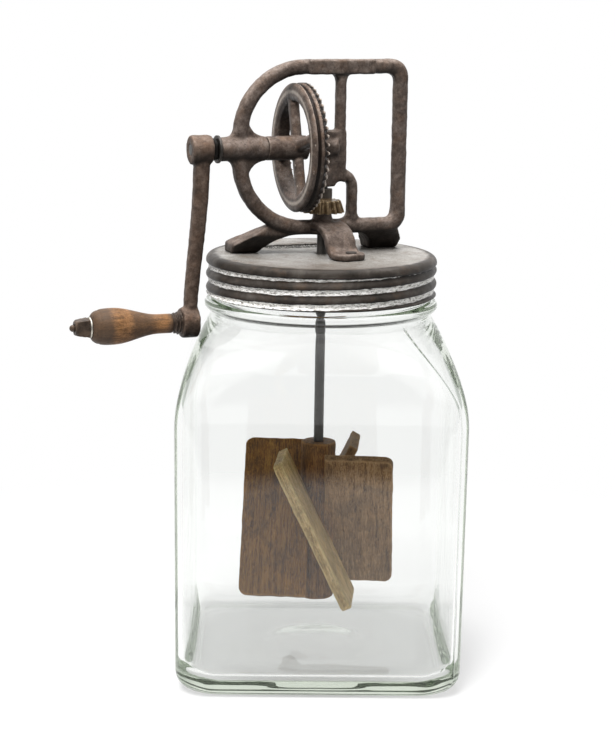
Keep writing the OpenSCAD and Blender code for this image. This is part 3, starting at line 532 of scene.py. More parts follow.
def wood_material(name, dark, mid, light, way, soil=0.4, edge_light=0.5, bands=()):
    """Old wood with its grain along a direction.

    Bands give the start and the end of a length along the grain, in mm, the shares of soot along it,
    and the soot's colour.
    """
    s = Shade(name)
    turn = upright(way)
    rings = s.noise(420, 6, 0.70, 0.9, s.stretch((1, 1, 0.07), turn))
    fibre = s.noise(1500, 5, 0.85, 0.2, s.stretch((1, 1, 0.16), turn))
    tone = s.ramp(rings, (0.32, dark), (0.50, mid), (0.68, light))
    tone = s.mix(s.ramp(fibre, (0.36, 0.9), (0.50, 0.0)), tone, times(dark, 0.7))
    tone = s.mix(s.ramp(fibre, (0.52, 0.0), (0.68, 0.7)), tone, times(light, 1.25))
    fuzz = s.noise(1500, 4, 0.85, at=s.stretch((1, 1, 0.5), turn))
    tone = s.mix(s.ramp(fuzz, (0.55, 0.0), (0.66, 0.7)), tone, times(light, 1.5))
    patch = s.ramp(s.noise(60, 7, 0.72, 0.5), (0.44, 0.0), (0.64, soil))
    tone = s.mix(patch, tone, times(dark, 0.5))
    edge = s.edges()
    tone = s.mix(s.ramp(edge, (0.51, 0.0), (0.57, edge_light)), tone, times(light, 1.4))
    tone = s.mix(s.ramp(edge, (0.42, 0.7), (0.49, 0.0)), tone, times(dark, 0.4))
    if bands:
        start, end, shares, darkening = bands
        along = s.step(s.parts(s.stretch(turn=turn))["Z"], start, end)
        tone = s.mix(s.ramp(s.ragged(along, s.noise(90, 4, 0.6), 0.16), *shares), tone, darkening)
    s.set("Base Color", tone)
    s.set("Roughness", s.ramp(s.noise(140, 5, 0.6), (0.3, 0.5), (0.7, 0.75)))
    s.set("Normal", s.bump(fibre, 0.6, 0.35, s.bump(rings, 0.3, 0.3)))
    return s.material


def glass_material(name):
    """Old pressed glass: clear, slightly wavy, and cool green where it is looked through lengthwise."""
    s = Shade(name)
    s.set("Base Color", (0.99, 0.995, 0.992))
    s.set("Roughness", 0.0)
    s.set("IOR", 1.47)
    s.set("Transmission Weight", 1.0)
    wave = s.bump(s.noise(22, 2, 0.4), 0.12, 1.2)
    s.set("Normal", s.bump(s.noise(120, 2, 0.5), 0.05, 0.25, wave))
    depth = s.add("VolumeAbsorption", Color=(0.58, 0.66, 0.52), Density=6.0)
    s.plug(depth, s.tree.nodes["Material Output"].inputs["Volume"])
    return s.material


glass = glass_material("pressed_glass")
tin = tin_material("aged_tinplate")
iron = iron_material("cast_iron", dark=(0.022, 0.015, 0.011), mid=(0.144, 0.109, 0.090),
                     light=(0.290, 0.238, 0.207), rust=(0.180, 0.112, 0.075), wear_and_glint=(0.50, 0.43, 0.385))
crank_iron = iron_material("crank_iron", dark=(0.019, 0.012, 0.008), mid=(0.122, 0.083, 0.062),
                           light=(0.255, 0.189, 0.150), rust=(0.180, 0.105, 0.067),
                           wear_and_glint=(0.42, 0.34, 0.285), darkening=NECK_X)
gear_iron = iron_material("gear_iron", dark=(0.016, 0.010, 0.007), mid=(0.135, 0.099, 0.080),
                          light=(0.300, 0.242, 0.205), rust=(0.210, 0.124, 0.075),
                          wear_and_glint=(0.66, 0.58, 0.50), gloss=0.10, toothed=True)
pinion_metal = pinion_material("pinion_metal")
steel = steel_material("dark_steel", dark=(0.035, 0.031, 0.028), light=(0.10, 0.09, 0.082))
brown_steel = steel_material("brown_steel", dark=(0.022, 0.014, 0.009), light=(0.105, 0.072, 0.050),
                             metallic=0.3)
ferrule_steel = steel_material("ferrule_steel", dark=(0.010, 0.006, 0.004), light=(0.085, 0.060, 0.045),
                               metallic=0.3)
rod_steel = steel_material("rod_steel", dark=(0.016, 0.014, 0.013), light=(0.060, 0.056, 0.052),
                           metallic=0.5, rough=(0.34, 0.55))
washer_metal = steel_material("bright_washer", dark=(0.42, 0.39, 0.33), light=(0.75, 0.71, 0.63),
                              metallic=0.85, rough=(0.25, 0.45))
wire = wire_material("strainer_wire")


# Camera

# Place and aim in m, angles in degrees, focal length and picture height in the photograph's pixels
CAMERA = dict(place=(-0.0325, -1.2047, 0.4333), aim_z=0.17782, aim_side=-0.007415, azimuth=-1.545,
              roll=0.896, focal=1993.39, picture=756, sensor=36, near=0.05, far=20)


def make_camera():
    """The photograph's view: fitted place, aim, roll and focal length."""
    c = CAMERA
    place = Vector(c["place"])
    azimuth, roll = math.radians(c["azimuth"]), math.radians(c["roll"])
    aim = Vector((0, 0, c["aim_z"])) + Vector((math.cos(azimuth), math.sin(azimuth), 0)) * c["aim_side"]
    ahead = (aim - place).normalized()
    level = ahead.cross(Vector((0, 0, 1))).normalized()
    above = level.cross(ahead)
    right = level * math.cos(roll) + above * math.sin(roll)
    up = above * math.cos(roll) - level * math.sin(roll)
    data = bpy.data.cameras.new("camera")
    data.sensor_fit = "VERTICAL"
    data.sensor_height = c["sensor"]
    data.lens = c["focal"] / c["picture"] * c["sensor"]
    data.clip_start, data.clip_end = c["near"], c["far"]
    camera = bpy.data.objects.new("camera", data)
    camera.matrix_world = Matrix.Translation(place) @ Matrix((right, up, -ahead)).transposed().to_4x4()
    scene.collection.objects.link(camera)
    scene.camera = camera


# Jar

# Half-widths, radii and heights in mm
JAR = dict(half=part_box("jar")[1][0] / MM, rim=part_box("jar")[1][2] / MM, corner=18.0, heel_half=85.7,
           foot_half=75.5, heel=14.0, heel_round=1.5, heel_round_in=3.0, wall=4.3, floor=9.0,
           shoulder=162.0, rise=57.0, top=67.4, neck=66.0, inner=61.7, lip=2.0, bead=68.3, tube=2.9,
           bead_z=225.45, bead_root=66.2)
# Shares of the shoulder's height, its bows as powers, and lengths in mm
SHOULDER = dict(start=0.22, soft=0.8, bow=1.9, flat=1.0, inner_bow=4, inner_drop=3.0)
# Rings in mm, as radius and height: the hollow under the foot and the root of the neck
FOOT_HOLLOW = ((2, 1.2), (12, 1.17), (19, 1.05), (25, 0.75), (30, 0.35), (34, 0.08), (37, 0.0))
NECK_ROOT = ((67.2, 219.2), (66.6, 220.3), (66.4, 221.6))
# The sole's half-width and corner radius from the hollow to the heel, and the rings of the inside
SOLE = ((37, 74), (37, 20))
NECK_INSIDE_Z = (250, 242, 234, 226, 222)
FLOOR_RINGS = ((64, 30, 0.0), (56, 54, 0.1), (46, 46, 0.6), (30, 30, 1.0), (12, 12, 1.1), (2, 2, 1.1))
# The screw thread and the mould's seam in mm, the seam's corner, and the bead's arc in degrees
THREAD = dict(low=233.0, high=250.5, start=235.0, half=2.6, height=1.5, fade=2.0, first_row=229.4,
              row=0.66)
SEAM = dict(height=0.5, half=0.7, heel=0.7, at=math.radians(315))
BEAD_ARC = (-100, 90)
# How many rows of points each part gets, and how close they crowd towards the corners
ROWS = dict(quarter=64, crowd=1.8, sole=8, heel=14, side=12, shoulder=40, bead=14, thread=36, lip=8)


def side_distance(a, r, phi):
    """How far a rounded square's side lies from its middle towards phi: half-width a, corner radius r."""
    p = abs(nearest(phi, math.pi / 2))
    if p <= math.atan2(a - r, a):
        return a / math.cos(p)
    c = (a - r) * math.sqrt(2)
    d = p - math.pi / 4
    return c * math.cos(d) + math.sqrt(max(0.0, r * r - (c * math.sin(d)) ** 2))


def shoulder_size(s):
    """Half-width and corner radius of the jar's shoulder at step s from 0 at the body to 1 at the neck."""
    j, h = JAR, SHOULDER
    t = max(0.0, (s - h["start"]) / (1 - h["start"]))
    rounding = between(t, ease(0, 1, t), h["soft"])
    corner = between(j["corner"], j["top"] - h["flat"], rounding)
    return between(j["half"], j["top"], s ** h["bow"]), corner


def thread(phi, z):
    """Height of the screw thread on the neck."""
    t = THREAD
    fade = min(clamp((z - t["low"]) / t["fade"]), clamp((t["high"] - z) / t["fade"]))
    d = nearest(z - t["start"] - RIB_PITCH * phi / (2 * math.pi), RIB_PITCH)
    return t["height"] * fade * math.cos(d / t["half"] * math.pi / 2) if abs(d) < t["half"] else 0.0


def make_jar():
    """The jar as one closed skin: hollow foot, heel, sides, shoulder, bead, threaded neck and inside."""
    j, n = JAR, ROWS
    phis = []
    for q in range(4):
        for i in range(n["quarter"]):
            t = 2 * i / n["quarter"] - 1
            phis.append(math.radians(90 * q + 45 + 45 * math.copysign(abs(t) ** n["crowd"], t)))
    rings = []

    def ring(a, r, z, seam=0.0, screw=False):
        """Adds a rounded square of half-width a and corner radius r, with a share of the mould's seam."""
        loop = []
        for phi in phis:
            d = side_distance(a, r, phi)
            if seam:
                off = nearest(phi - SEAM["at"], 2 * math.pi) * d
                d += seam * SEAM["height"] * math.exp(-(off / SEAM["half"]) ** 2)
            if screw:
                d += thread(phi, z)
            loop.append((d * math.cos(phi), d * math.sin(phi), z))
        rings.append(loop)

    for r, z in FOOT_HOLLOW:
        ring(r, r, z)
    for i in range(1, n["sole"]):
        ring(*(between(*ends, i / n["sole"]) for ends in SOLE), 0.0)
    for i in range(n["heel"] + 1):
        t = math.radians(90 * i / n["heel"])
        ring(between(j["foot_half"], j["heel_half"], math.sin(t)),
             j["corner"] + j["heel_round"] * math.cos(t), j["heel"] * (1 - math.cos(t)),
             SEAM["heel"] * math.sin(t))
    for i in range(1, n["side"]):
        t = i / n["side"]
        ring(between(j["heel_half"], j["half"], t), j["corner"], between(j["heel"], j["shoulder"], t), 1.0)
    for i in range(n["shoulder"] + 1):
        s = i / n["shoulder"]
        ring(*shoulder_size(s), j["shoulder"] + j["rise"] * s, 1.0)
    for r, z in NECK_ROOT:
        ring(r, r, z)
    for i in range(n["bead"] + 1):
        b = math.radians(between(*BEAD_ARC, i / n["bead"]))
        r = max(j["bead"] + j["tube"] * math.cos(b), j["bead_root"])
        ring(r, r, j["bead_z"] + j["tube"] * math.sin(b))
    for i in range(n["thread"]):
        ring(j["neck"], j["neck"], THREAD["first_row"] + THREAD["row"] * i, screw=True)
    for i in range(n["lip"] + 1):
        b = math.radians(180 * i / n["lip"])
        r = (j["neck"] + j["inner"]) / 2 + (j["neck"] - j["inner"]) / 2 * math.cos(b)
        ring(r, r, j["rim"] - j["lip"] + j["lip"] * math.sin(b))
    for z in NECK_INSIDE_Z:
        ring(j["inner"], j["inner"], z)
    corner = j["corner"] - j["wall"]
    for i in range(n["shoulder"], -1, -1):
        s = i / n["shoulder"]
        a, r = shoulder_size(s)
        bow = s ** SHOULDER["inner_bow"]
        inset = between(j["wall"], j["top"] - j["inner"], bow)
        ring(a - inset, max(min(r, a) - inset, corner),
             j["shoulder"] + j["rise"] * s - SHOULDER["inner_drop"] * bow)
    for i in range(n["side"] - 1, 0, -1):
        t = i / n["side"]
        ring(between(j["heel_half"], j["half"], t) - j["wall"], corner,
             between(j["floor"] + j["heel"], j["shoulder"], t))
    for i in range(n["heel"], -1, -1):
        t = math.radians(90 * i / n["heel"])
        ring(between(j["foot_half"], j["heel_half"], math.sin(t)) - j["wall"],
             corner + j["heel_round_in"] * math.cos(t), j["floor"] + j["heel"] * (1 - math.cos(t)))
    for a, r, lift in FLOOR_RINGS:
        ring(a, r, j["floor"] + lift)
    return new_object("jar_glass", *skin(rings))


# Lid

# Radii, depths below the lid's top and thicknesses in mm; each pair is where a change begins and ends
LID = dict(edge=66.4, edge_r=4.0, side=68.9, side_step=(4.4, 6.6), sheet=0.8, skirt=(4.6, 24.6),
           rib_half=2.9, rib=1.5, rib_bow=1.2, rib_begins=(5.5, 8.0), rib_ends=(23.2, 24.2), hem_from=22.8,
           hem_side=69.1, hem=1.2, hem_tall=1.8, most=0.05, cut=3.0)
LID_FLAT = (4.5, 9, 18, 28, 38, 48, 56, 62, 65.2)
LID_ROWS = dict(around=288, edge=8, skirt=56, slot=24)
# The rubbed tin beside the rib and the pale top of the lid, in mm
STREAK = dict(reach=2.4, soft=1.5, start=4.8, fade=0.8)
CROWN = dict(radius=68.5, soft=8.0, depth=2.0)


def rib_offset(phi, d):
    """Depth below the middle of the nearest rolled rib, which climbs once round the lid per pitch."""
    climb = RIB_PITCH * (phi - math.pi) / (2 * math.pi)
    return nearest(d - RIB_START + climb, RIB_PITCH)


def lid_side(phi, d):
    """Outer radius of the lid's skirt at depth d below its top."""
    c = LID
    widest = c["edge"] + c["edge_r"]
    r = between(widest, c["side"], ease(*c["side_step"], d))
    off = rib_offset(phi, d)
    fade = ease(*c["rib_begins"], d) * (1 - ease(*c["rib_ends"], d))
    if abs(off) < c["rib_half"]:
        r += c["rib"] * fade * math.cos(off / c["rib_half"] * math.pi / 2) ** c["rib_bow"]
    if d > c["hem_from"]:
        hem = math.sin(min(1.0, (d - c["hem_from"]) / c["hem_tall"]) * math.pi)
        r = max(r, c["hem_side"] + c["hem"] * hem)
    return min(r, widest + c["most"])


def slot_outline(grow, steps):
    """Points once round the strainer's slot, let out by grow mm, on the head."""
    outline = []
    for side in (1, -1):
        for i in range(steps + 1):
            a = math.radians(-90 + 180 * i / steps)
            r = SLOT_R + grow
            outline.append((side * (SLOT_HALF + r * math.cos(a)), SLOT_Y + side * r * math.sin(a)))
    return outline


def make_lid():
    """The screw lid as one sheet: top with a hole and the strainer's slot, round edge and rolled skirt."""
    c, n = LID, LID_ROWS
    phis = [2 * math.pi * i / n["around"] for i in range(n["around"])]
    edge_turns = [math.radians(90 * i / n["edge"]) for i in range(1, n["edge"] + 1)]
    depths = [between(*c["skirt"], i / n["skirt"]) for i in range(n["skirt"] + 1)]
    inside_r = c["edge_r"] - c["sheet"]
    rings = []

    def ring(radii, depth):
        """Adds a ring from its radius at each angle."""
        rings.append([(r * math.cos(p), r * math.sin(p), LID_Z - depth) for r, p in zip(radii, phis)])

    def round_ring(r, depth):
        """A ring with the same radius all round."""
        ring([r] * len(phis), depth)

    for r in LID_FLAT:
        round_ring(r, 0)
    for b in edge_turns:
        round_ring(c["edge"] + c["edge_r"] * math.sin(b), c["edge_r"] * (1 - math.cos(b)))
    for d in depths:
        ring([lid_side(p, d) for p in phis], d)
    for d in reversed(depths):
        ring([lid_side(p, min(d, c["hem_from"])) - c["sheet"] for p in phis], d)
    for b in reversed(edge_turns):
        round_ring(c["edge"] + inside_r * math.sin(b), c["edge_r"] - inside_r * math.cos(b))
    for r in reversed(LID_FLAT):
        round_ring(r, c["sheet"])
    obj = new_object("lid_tin", *skin(rings, closed=True))

    outline = slot_outline(0, n["slot"])
    walls = [[head(x, y, z) for x, y in outline] for z in (-c["cut"], c["cut"])]
    cutter = new_object("slot_cutter", *skin(walls))
    cut = obj.modifiers.new("slot", "BOOLEAN")
    cut.object = cutter
    cut.operation = "DIFFERENCE"
    cut.solver = "EXACT"
    bake(obj)
    bpy.data.objects.remove(cutter)
    obj.data.shade_smooth()

    streak, crown = [], []
    for x, y, z in points(obj.data) / MM:
        depth = LID_Z - z
        off = rib_offset(math.atan2(y, x) % (2 * math.pi), depth)
        away = abs(nearest(off - c["rib_half"], RIB_PITCH))
        beside = clamp((STREAK["reach"] - away) / STREAK["soft"])
        streak.append(beside * clamp((depth - STREAK["start"]) / STREAK["fade"]))
        flat = clamp((CROWN["radius"] - math.hypot(x, y)) / CROWN["soft"])
        crown.append(flat if depth < CROWN["depth"] else 0.0)
    mark_points(obj.data, "streak", np.array(streak))
    mark_points(obj.data, "crown", np.array(crown))
    mark_up(obj.data)
    return obj


# Strainer

# Sizes in mm, with heights from the lid's top
SCREEN = dict(pitch=1.35, wire=0.30, sides=6, z=-1.2, weave=0.22, hold=0.7, rim_out=3.0, rim_in=0.2,
              rim_half=0.38, rim_rows=16, per_pitch=4)


def tube(path, radius, n):
    """Points and faces of a closed round wire along a list of points, in mm."""
    pts = [Vector(p) for p in path]
    turns = [2 * math.pi * i / n for i in range(n)]
    rings = []
    for k, p in enumerate(pts):
        way = (pts[min(k + 1, len(pts) - 1)] - pts[max(k - 1, 0)]).normalized()
        side = way.cross(Vector((0, 0, 1))).normalized()
        up = side.cross(way)
        rings.append([tuple(p + side * (radius * math.cos(a)) + up * (radius * math.sin(a)))
                      for a in turns])
    return skin(rings)


def make_screen():
    """Woven wire under the lid's slot, in a flat rim."""
    c = SCREEN
    verts, faces = [], []

    def join(more, more_faces):
        """Adds points and faces to the piece."""
        base = len(verts)
        verts.extend(more)
        faces.extend(tuple(i + base for i in face) for face in more_faces)

    hold = SLOT_R + c["hold"]
    for along_x in (True, False):
        count = int((hold if along_x else SLOT_HALF + hold) / c["pitch"])
        for k in range(-count, count + 1):
            across = k * c["pitch"]
            if along_x:
                span = SLOT_HALF + math.sqrt(max(0.0, hold ** 2 - across ** 2))
            else:
                span = math.sqrt(max(0.0, hold ** 2 - max(0.0, abs(across) - SLOT_HALF) ** 2))
            if span < c["pitch"]:
                continue
            steps = max(c["per_pitch"], int(c["per_pitch"] * span / c["pitch"]))
            path = []
            for i in range(steps + 1):
                s = -span + 2 * span * i / steps
                lift = c["weave"] * math.cos(math.pi * s / c["pitch"]) * (-1) ** (k + (not along_x))
                x, y = (s, across) if along_x else (across, s)
                path.append(head(x, y + SLOT_Y, c["z"] + lift))
            join(*tube(path, c["wire"], c["sides"]))
    outer, inner = (slot_outline(grow, c["rim_rows"]) for grow in (c["rim_out"], c["rim_in"]))
    top, low = c["z"] + c["rim_half"], c["z"] - c["rim_half"]
    loops = ((outer, top), (outer, low), (inner, low), (inner, top))
    join(*skin([[head(x, y, h) for x, y in loop] for loop, h in loops], closed=True))
    return new_object("strainer_wire", verts, faces)


# Drive gear

# Sizes in mm; outer, bow_full, groove_at and the ridge's brightness are shares, and ridge_half is a step
# across the rim. The ridge is a painted highlight line, not a shape.
GEAR = dict(rim=28.0, outer=0.9, thick=6.75, tooth=2.6, tooth_from=3.8, tooth_low=-0.4, bow_out=2.6,
            bow_in=1.0, bow_full=0.98, groove=1.2, groove_at=0.55, groove_reach=2.0, ridge_glint=0.6,
            ridge_half=0.3, ridge_reach=1.5)


def shape_gear(obj):
    """Rounds the back of the gear's rim, deepens its groove, and marks painted shade in the groove and at
    the tooth roots, wear with painted highlight at the tooth tips, and a painted highlight line round the
    rim's back.
    """
    g = GEAR
    way, middle = np.array(CRANK_WAY), np.array((0, 0, CRANK_Z))
    co = points(obj.data) / MM
    along = co @ way
    spread = co - np.outer(along, way) - middle
    r = np.linalg.norm(spread, axis=1)
    edge = r.max()
    back = along[r > g["outer"] * edge].min()
    step = np.clip((2 * r - edge - g["rim"]) / (edge - g["rim"]), -1, 1)
    bow = np.where(step > 0, g["bow_out"], g["bow_in"]) * (1 - np.sqrt(1 - g["bow_full"] * step ** 2))
    bowed = np.where(r > g["rim"], np.maximum(along, back + bow), along)
    groove_off = (along - back - g["groove_at"] * g["thick"]) / g["groove"]
    groove = np.exp(-groove_off ** 2) * (r > edge - g["groove_reach"])
    shrink = (r - g["groove"] * groove) / r
    set_points(obj.data, (np.outer(bowed, way) + middle + spread * shrink[:, None]) * MM)
    lift = along - (back + g["thick"]) * r / edge
    toothed = (r > g["rim"] + g["tooth_from"]) & (lift > g["tooth_low"])
    on_back = (along < back + g["ridge_reach"]) * (r > g["rim"])
    # Painted highlight: a bright line round the middle of the rim's back
    ridge_glint = g["ridge_glint"] * np.exp(-(step / g["ridge_half"]) ** 2) * on_back
    roots = toothed * np.clip(1 - lift / g["tooth"], 0, 1)
    tips = toothed * np.clip(lift / g["tooth"] * 2 - 1, 0, 1)
    # Marks for painted shade in the groove and at the tooth roots, and for wear with painted highlight at
    # the tooth tips and on the line
    mark_points(obj.data, "hollow", np.maximum(groove, roots))
    mark_points(obj.data, "rubbed_and_glint", np.maximum(ridge_glint, tips))
    return obj


# Turned pieces of the handle

# Sizes in mm, apart from counts and powers; the grip's end, belly and neck are widths, and belly_at and
# neck_at are shares of the wood's length
GRIP = dict(bore=3.08, end=12.4, belly=21.8, neck=11.6, belly_at=0.26, neck_at=0.85, end_rim=0.8,
            chamfer=0.1, groove=0.25, groove_at=4.2, groove_half=0.5, tenon=1.0, rows=72, crowd=1.4)
FERRULE = dict(inside=0.95, outside=0.1, large=7.35, flare=1.3, rings=3, ring=0.5, sunk=0.45, fade=8,
               small_rim=0.2, large_rim=0.7, rows=40)
SPINDLE = dict(ball=2.1, ball_arc=(4, 140), rows=12, neck=1.5, neck_at=0.2, screw=2.0, screw_at=0.3,
               rod=2.9, rod_at=0.1, root=2.95, chamfer=0.4, end=2.5)


def turned(name, outline, closed=True, n=72):
    """A turned piece about the handle's axis from (x, radius) points given once round its half-section."""
    axis = HANDLE_Z - LID_Z
    turns = [2 * math.pi * i / n for i in range(n)]
    rings = [[head(x, r * math.cos(a), axis + r * math.sin(a)) for a in turns] for x, r in outline]
    return new_object(name, *skin(rings, closed))


def grip_radius(u):
    """Radius of the wooden grip at step u from 0 at its outer end to 1 at its ferrule."""
    g = GRIP
    if u < g["belly_at"]:
        full = math.sqrt(1 - ((g["belly_at"] - u) / g["belly_at"]) ** 3)
        return between(g["end"], g["belly"], full) / 2
    fall = math.pi * min(1.0, (u - g["belly_at"]) / (g["neck_at"] - g["belly_at"]))
    return between(g["neck"], g["belly"], (1 + math.cos(fall)) / 2) / 2


def make_grip():
    """The wood with a fine groove near its outer end, and a tenon in the ferrule."""
    g = GRIP
    start, end = GRIP_X
    shoulder = FERRULE_X[0]
    tenon = g["neck"] / 2 - g["tenon"]
    outline = [(start, g["bore"]), (start, g["end"] / 2 - g["end_rim"]),
               (start + g["chamfer"], g["end"] / 2)]
    for i in range(1, g["rows"] + 1):
        u = (i / g["rows"]) ** g["crowd"]
        x = (shoulder - start) * u
        groove = g["groove"] * math.exp(-((x - g["groove_at"]) / g["groove_half"]) ** 2)
        outline.append((start + x, grip_radius(u) - groove))
    outline += [(shoulder, tenon), (end - g["chamfer"], tenon), (end, tenon - g["chamfer"]),
                (end, g["bore"])]
    return turned("grip_turned", outline)


def make_ferrule():
    """A collar that flares towards the crank, with carved rings."""
    f = FERRULE
    low, high = FERRULE_X
    bore, small = GRIP["neck"] / 2 - f["inside"], GRIP["neck"] / 2 + f["outside"]
    outline = [(low, bore), (low, small - f["small_rim"])]
    for i in range(1, f["rows"]):
        u = i / f["rows"]
        fade = min(1.0, f["fade"] * u, f["fade"] * (1 - u))
        ring = f["ring"] * math.cos(2 * math.pi * f["rings"] * u) * fade
        r = between(small, f["large"], u ** f["flare"])
        outline.append((between(low, high, u), r - f["sunk"] + ring))
    outline += [(high, f["large"] - f["large_rim"]), (high, bore)]
    return turned("ferrule_carved", outline)


def make_spindle():
    """The handle's spindle with a small ball at its outer end, thinner where it goes through its nut."""
    s = SPINDLE
    tip, end = SPINDLE_X
    nut_out, nut_in = NUT_X
    outline = []
    for i in range(s["rows"] + 1):
        a = math.radians(between(*s["ball_arc"], i / s["rows"]))
        outline.append((tip + s["ball"] - s["ball"] * math.cos(a), s["ball"] * math.sin(a)))
    outline += [(nut_out + s["neck_at"], s["neck"]), (nut_out + s["screw_at"], s["screw"]),
                (nut_in, s["screw"]), (nut_in + s["rod_at"], s["rod"]), (end - s["chamfer"], s["root"]),
                (end, s["end"])]
    return turned("spindle_ball", outline, closed=False)


# Stage

WHITE = (1.0, 1.0, 1.0)
# The floor's radius and height in mm, its number of points, and its two greys
FLOOR = dict(radius=2600, z=-0.05, points=96, pale=(0.86, 0.86, 0.86), dim=(0.35, 0.35, 0.35))
# Each lamp's place and size in m and its power in W, and where they aim
LAMPS = {"key": ((-0.6, -1.3, 2.1), 0.9, 75), "fill": ((1.6, -1.2, 1.1), 1.2, 8),
         "top": ((-0.1, 0.1, 2.0), 1.0, 30)}
LAMP_AIM = Vector((0, 0, 0.22))


def make_floor():
    """A pale round floor that keeps the shadow near the object and is plain white further out."""
    f = FLOOR
    turns = [2 * math.pi * i / f["points"] for i in range(f["points"])]
    verts = [(f["radius"] * math.cos(a), f["radius"] * math.sin(a), f["z"]) for a in turns]
    floor = new_object("floor", verts, [tuple(range(len(verts)))], smooth=False)
    material = bpy.data.materials.new("pale_floor")
    material.use_nodes = True
    tree = material.node_tree
    tree.nodes.clear()
    s = Nodes(tree)
    lit = s.add("BsdfDiffuse", Color=f["pale"])
    dim = s.add("BsdfDiffuse", Color=f["dim"])
    far = tree.nodes.new("ShaderNodeVectorMath")
    far.operation = "LENGTH"
    s.plug(s.place, far.inputs[0])
    # Plain white by the distance from the middle in m, and in reflections a dark floor in front
    clear = s.ramp(far.outputs["Value"], (0.075, 0.40), (0.13, 0.80), (0.45, 1.0))
    edge = s.ramp(s.calc("ADD", s.parts()["Y"], 1.0), (0.40, 0.05), (0.46, 1.0))
    glow = s.mix(s.rays("Glossy"), WHITE, edge)
    white = s.add("MixShader", Fac=clear)
    s.plug(lit, white.node.inputs[1])
    s.plug(s.add("Emission", Color=glow), white.node.inputs[2])
    seen = s.add("MixShader", Fac=s.rays("Camera", "Glossy", "Transmission"))
    s.plug(dim, seen.node.inputs[1])
    s.plug(white, seen.node.inputs[2])
    s.plug(seen, tree.nodes.new("ShaderNodeOutputMaterial").inputs["Surface"])
    floor.data.materials.append(material)


def make_studio():
    """White for the camera, greyer at the sides through the glass, a dim room to reflect, soft lamps."""
    world = bpy.data.worlds.new("studio")
    scene.world = world
    world.use_nodes = True
    s = Nodes(world.node_tree)
    way = s.parts(s.add("TexCoord", "Generated"))
    through = s.ramp(s.calc("ABSOLUTE", way["X"]), (0.12, WHITE), (0.45, (0.60, 0.635, 0.60)))
    overhead = s.calc("MULTIPLY", s.ramp(way["Z"], (0.55, 0.0), (0.95, 1.0)), 2.5)
    mirrored = s.calc("ADD", s.ramp(s.unit(way["Y"]), (0.35, 0.40), (0.62, 0.95)), overhead)
    soft = s.ramp(s.unit(way["Z"]), (0.45, 0.05), (0.75, 0.14), (1.0, 0.40))
    around = s.mix(s.rays("Glossy"), soft, mirrored)
    around = s.mix(s.rays("Transmission"), around, through)
    around = s.mix(s.rays("Camera"), around, WHITE)
    s.plug(around, world.node_tree.nodes["Background"].inputs["Color"])
    for name, (place, size, power) in LAMPS.items():
        data = bpy.data.lights.new(name, "AREA")
        data.size = size
        data.energy = power
        lamp = bpy.data.objects.new(name, data)
        lamp.visible_glossy = False
        lamp.visible_transmission = False
        lamp.location = place
        lamp.rotation_euler = (LAMP_AIM - Vector(place)).to_track_quat("-Z", "Y").to_euler()
        scene.collection.objects.link(lamp)


# Putting it together

# Light runs far along the thick glass before it leaves it.
GLASS_BOUNCES = 96
scene.cycles.max_bounces = GLASS_BOUNCES
scene.cycles.glossy_bounces = GLASS_BOUNCES
scene.cycles.transmission_bounces = GLASS_BOUNCES

make_camera()
make_floor()
make_studio()

# How the copies of solids are remeshed and worn, in mm
HEAVY_CAST = dict(voxel=0.6, rounds=20, swell=0.25, lump=0.12, lump_size=7)
GEAR_CAST = dict(voxel=0.45, rounds=4, swell=0.05, lump=0.06, lump_size=5)
PINION_CUT = dict(voxel=0.3, rounds=4, swell=0.04, lump=0.04, lump_size=4)
THIN_RING = dict(voxel=0.2, rounds=3)
WORN_NUT = dict(voxel=0.25, rounds=6, swell=0.05, lump=0.1, lump_size=3)
NUT_TAPER = dict(small=0.88, large=1.12)
CARVED = dict(swell=0.0, lump=0.2, size=2.5)
WORN_HUB = dict(voxel=0.6, rounds=4, lump=0.12, lump_size=9)
WORN_BOARD = dict(voxel=0.7, rounds=4, lump=0.15, lump_size=11)

put(make_jar(), "jar", glass, "jar")
put(make_lid(), "head", tin, "lid")
put(make_screen(), "head", wire, "strainer_screen")
put(cast_copy("frame", "frame_cast", **HEAVY_CAST), "head", iron, "frame")
put(cast_copy("crank_arm", "crank_cast", **HEAVY_CAST), "crank", crank_iron, "crank_arm")
gear = shape_gear(cast_copy("drive_gear", "gear_cast", **GEAR_CAST))
put(gear, "crank", gear_iron, "drive_gear")
pinion = cast_copy("pinion", "pinion_cut", **PINION_CUT)
put(pinion, "dasher", pinion_metal, "pinion")
put(cast_copy("crank_washer", "collar_worn", **THIN_RING), "crank", steel, "crank_washer")
washer = cast_copy("grip_washer", "washer_worn", **THIN_RING)
put(washer, "crank", washer_metal, "grip_washer")

nut = cast_copy("spindle_nut", "nut_worn", **WORN_NUT)
taper(nut, *NUT_X, **NUT_TAPER)
put(nut, "crank", brown_steel, "spindle_nut")
put(make_spindle(), "crank", brown_steel, "handle_spindle")
ferrule = make_ferrule()
push_out(ferrule, **CARVED)
put(ferrule, "grip", ferrule_steel, "grip_ferrule")

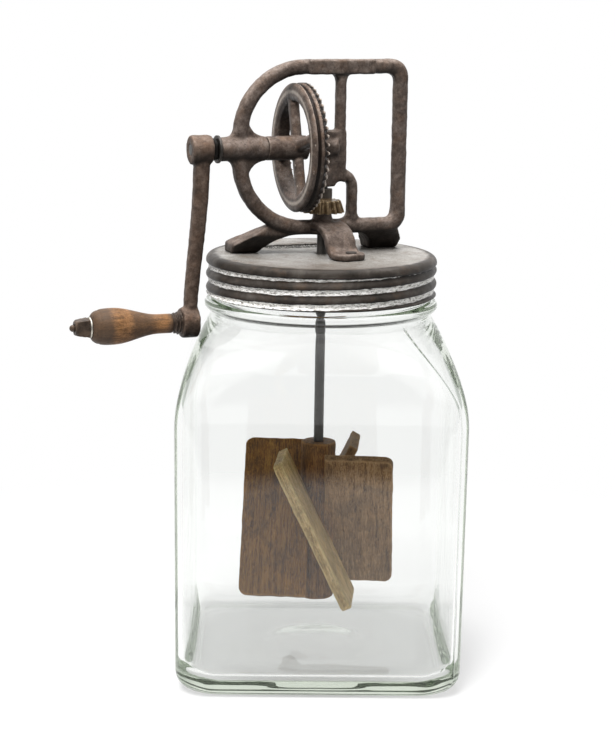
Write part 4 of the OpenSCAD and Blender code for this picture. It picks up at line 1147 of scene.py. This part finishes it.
# Shares of soot along the grip's wood, from its outer end
GRIP_SOOT = ((0.0, 0.80), (0.20, 0.82), (0.28, 0.0), (0.42, 0.05), (0.52, 0.68), (0.70, 0.72),
             (0.80, 0.05), (0.92, 0.10), (1.0, 0.85))
grip_wood = wood_material("grip_wood", dark=(0.065, 0.032, 0.013), mid=(0.19, 0.091, 0.035),
                          light=(0.36, 0.185, 0.078), way=CRANK_WAY, soil=0.35, edge_light=0.2,
                          bands=(GRIP_X[0], FERRULE_X[0], GRIP_SOOT, (0.050, 0.033, 0.022)))
put(make_grip(), "grip", grip_wood, "handle_grip")

hub_wood = wood_material("hub_wood", dark=(0.040, 0.015, 0.003), mid=(0.200, 0.082, 0.014),
                         light=(0.37, 0.185, 0.055), way=(0, 0, 1), soil=0.5)
hub = cast_copy("dasher_hub", "hub_wood", **WORN_HUB)
put(hub, "dasher", hub_wood, "dasher_hub")

# The boards' slope, the dasher's turn at rest, and each board's dark, middle and light tones;
# the boards follow each other by quarter turns, from the front
BOARD_SLOPE = math.radians(26)
DASHER_TURN = math.radians(-5)
BOARDS = {"front": ((0.24, 0.125, 0.032), (0.62, 0.400, 0.160), (0.84, 0.620, 0.310)),
          "right": ((0.085, 0.038, 0.010), (0.31, 0.165, 0.062), (0.50, 0.310, 0.150)),
          "back": ((0.070, 0.034, 0.010), (0.26, 0.140, 0.050), (0.42, 0.250, 0.110)),
          "left": ((0.055, 0.018, 0.001), (0.250, 0.105, 0.014), (0.41, 0.205, 0.045))}
for k, (name, tones) in enumerate(BOARDS.items()):
    out = math.radians(90 * (k - 1)) + DASHER_TURN
    lean = math.sin(BOARD_SLOPE)
    grain = (lean * math.sin(out), -lean * math.cos(out), math.cos(BOARD_SLOPE))
    board_wood = wood_material("board_wood_" + name, *tones, way=grain, soil=0.45)
    board = cast_copy("paddle_" + name, "paddle_board_" + name, **WORN_BOARD)
    put(board, "dasher", board_wood, "paddle_" + name)

for name in ("frame_rivets", "gear_pin", "pinion_pin", "hub_pin"):
    paint(name, steel)
for name in ("crank_shaft", "dasher_shaft"):
    paint(name, rod_steel)

scene.view_settings.view_transform = "Standard"
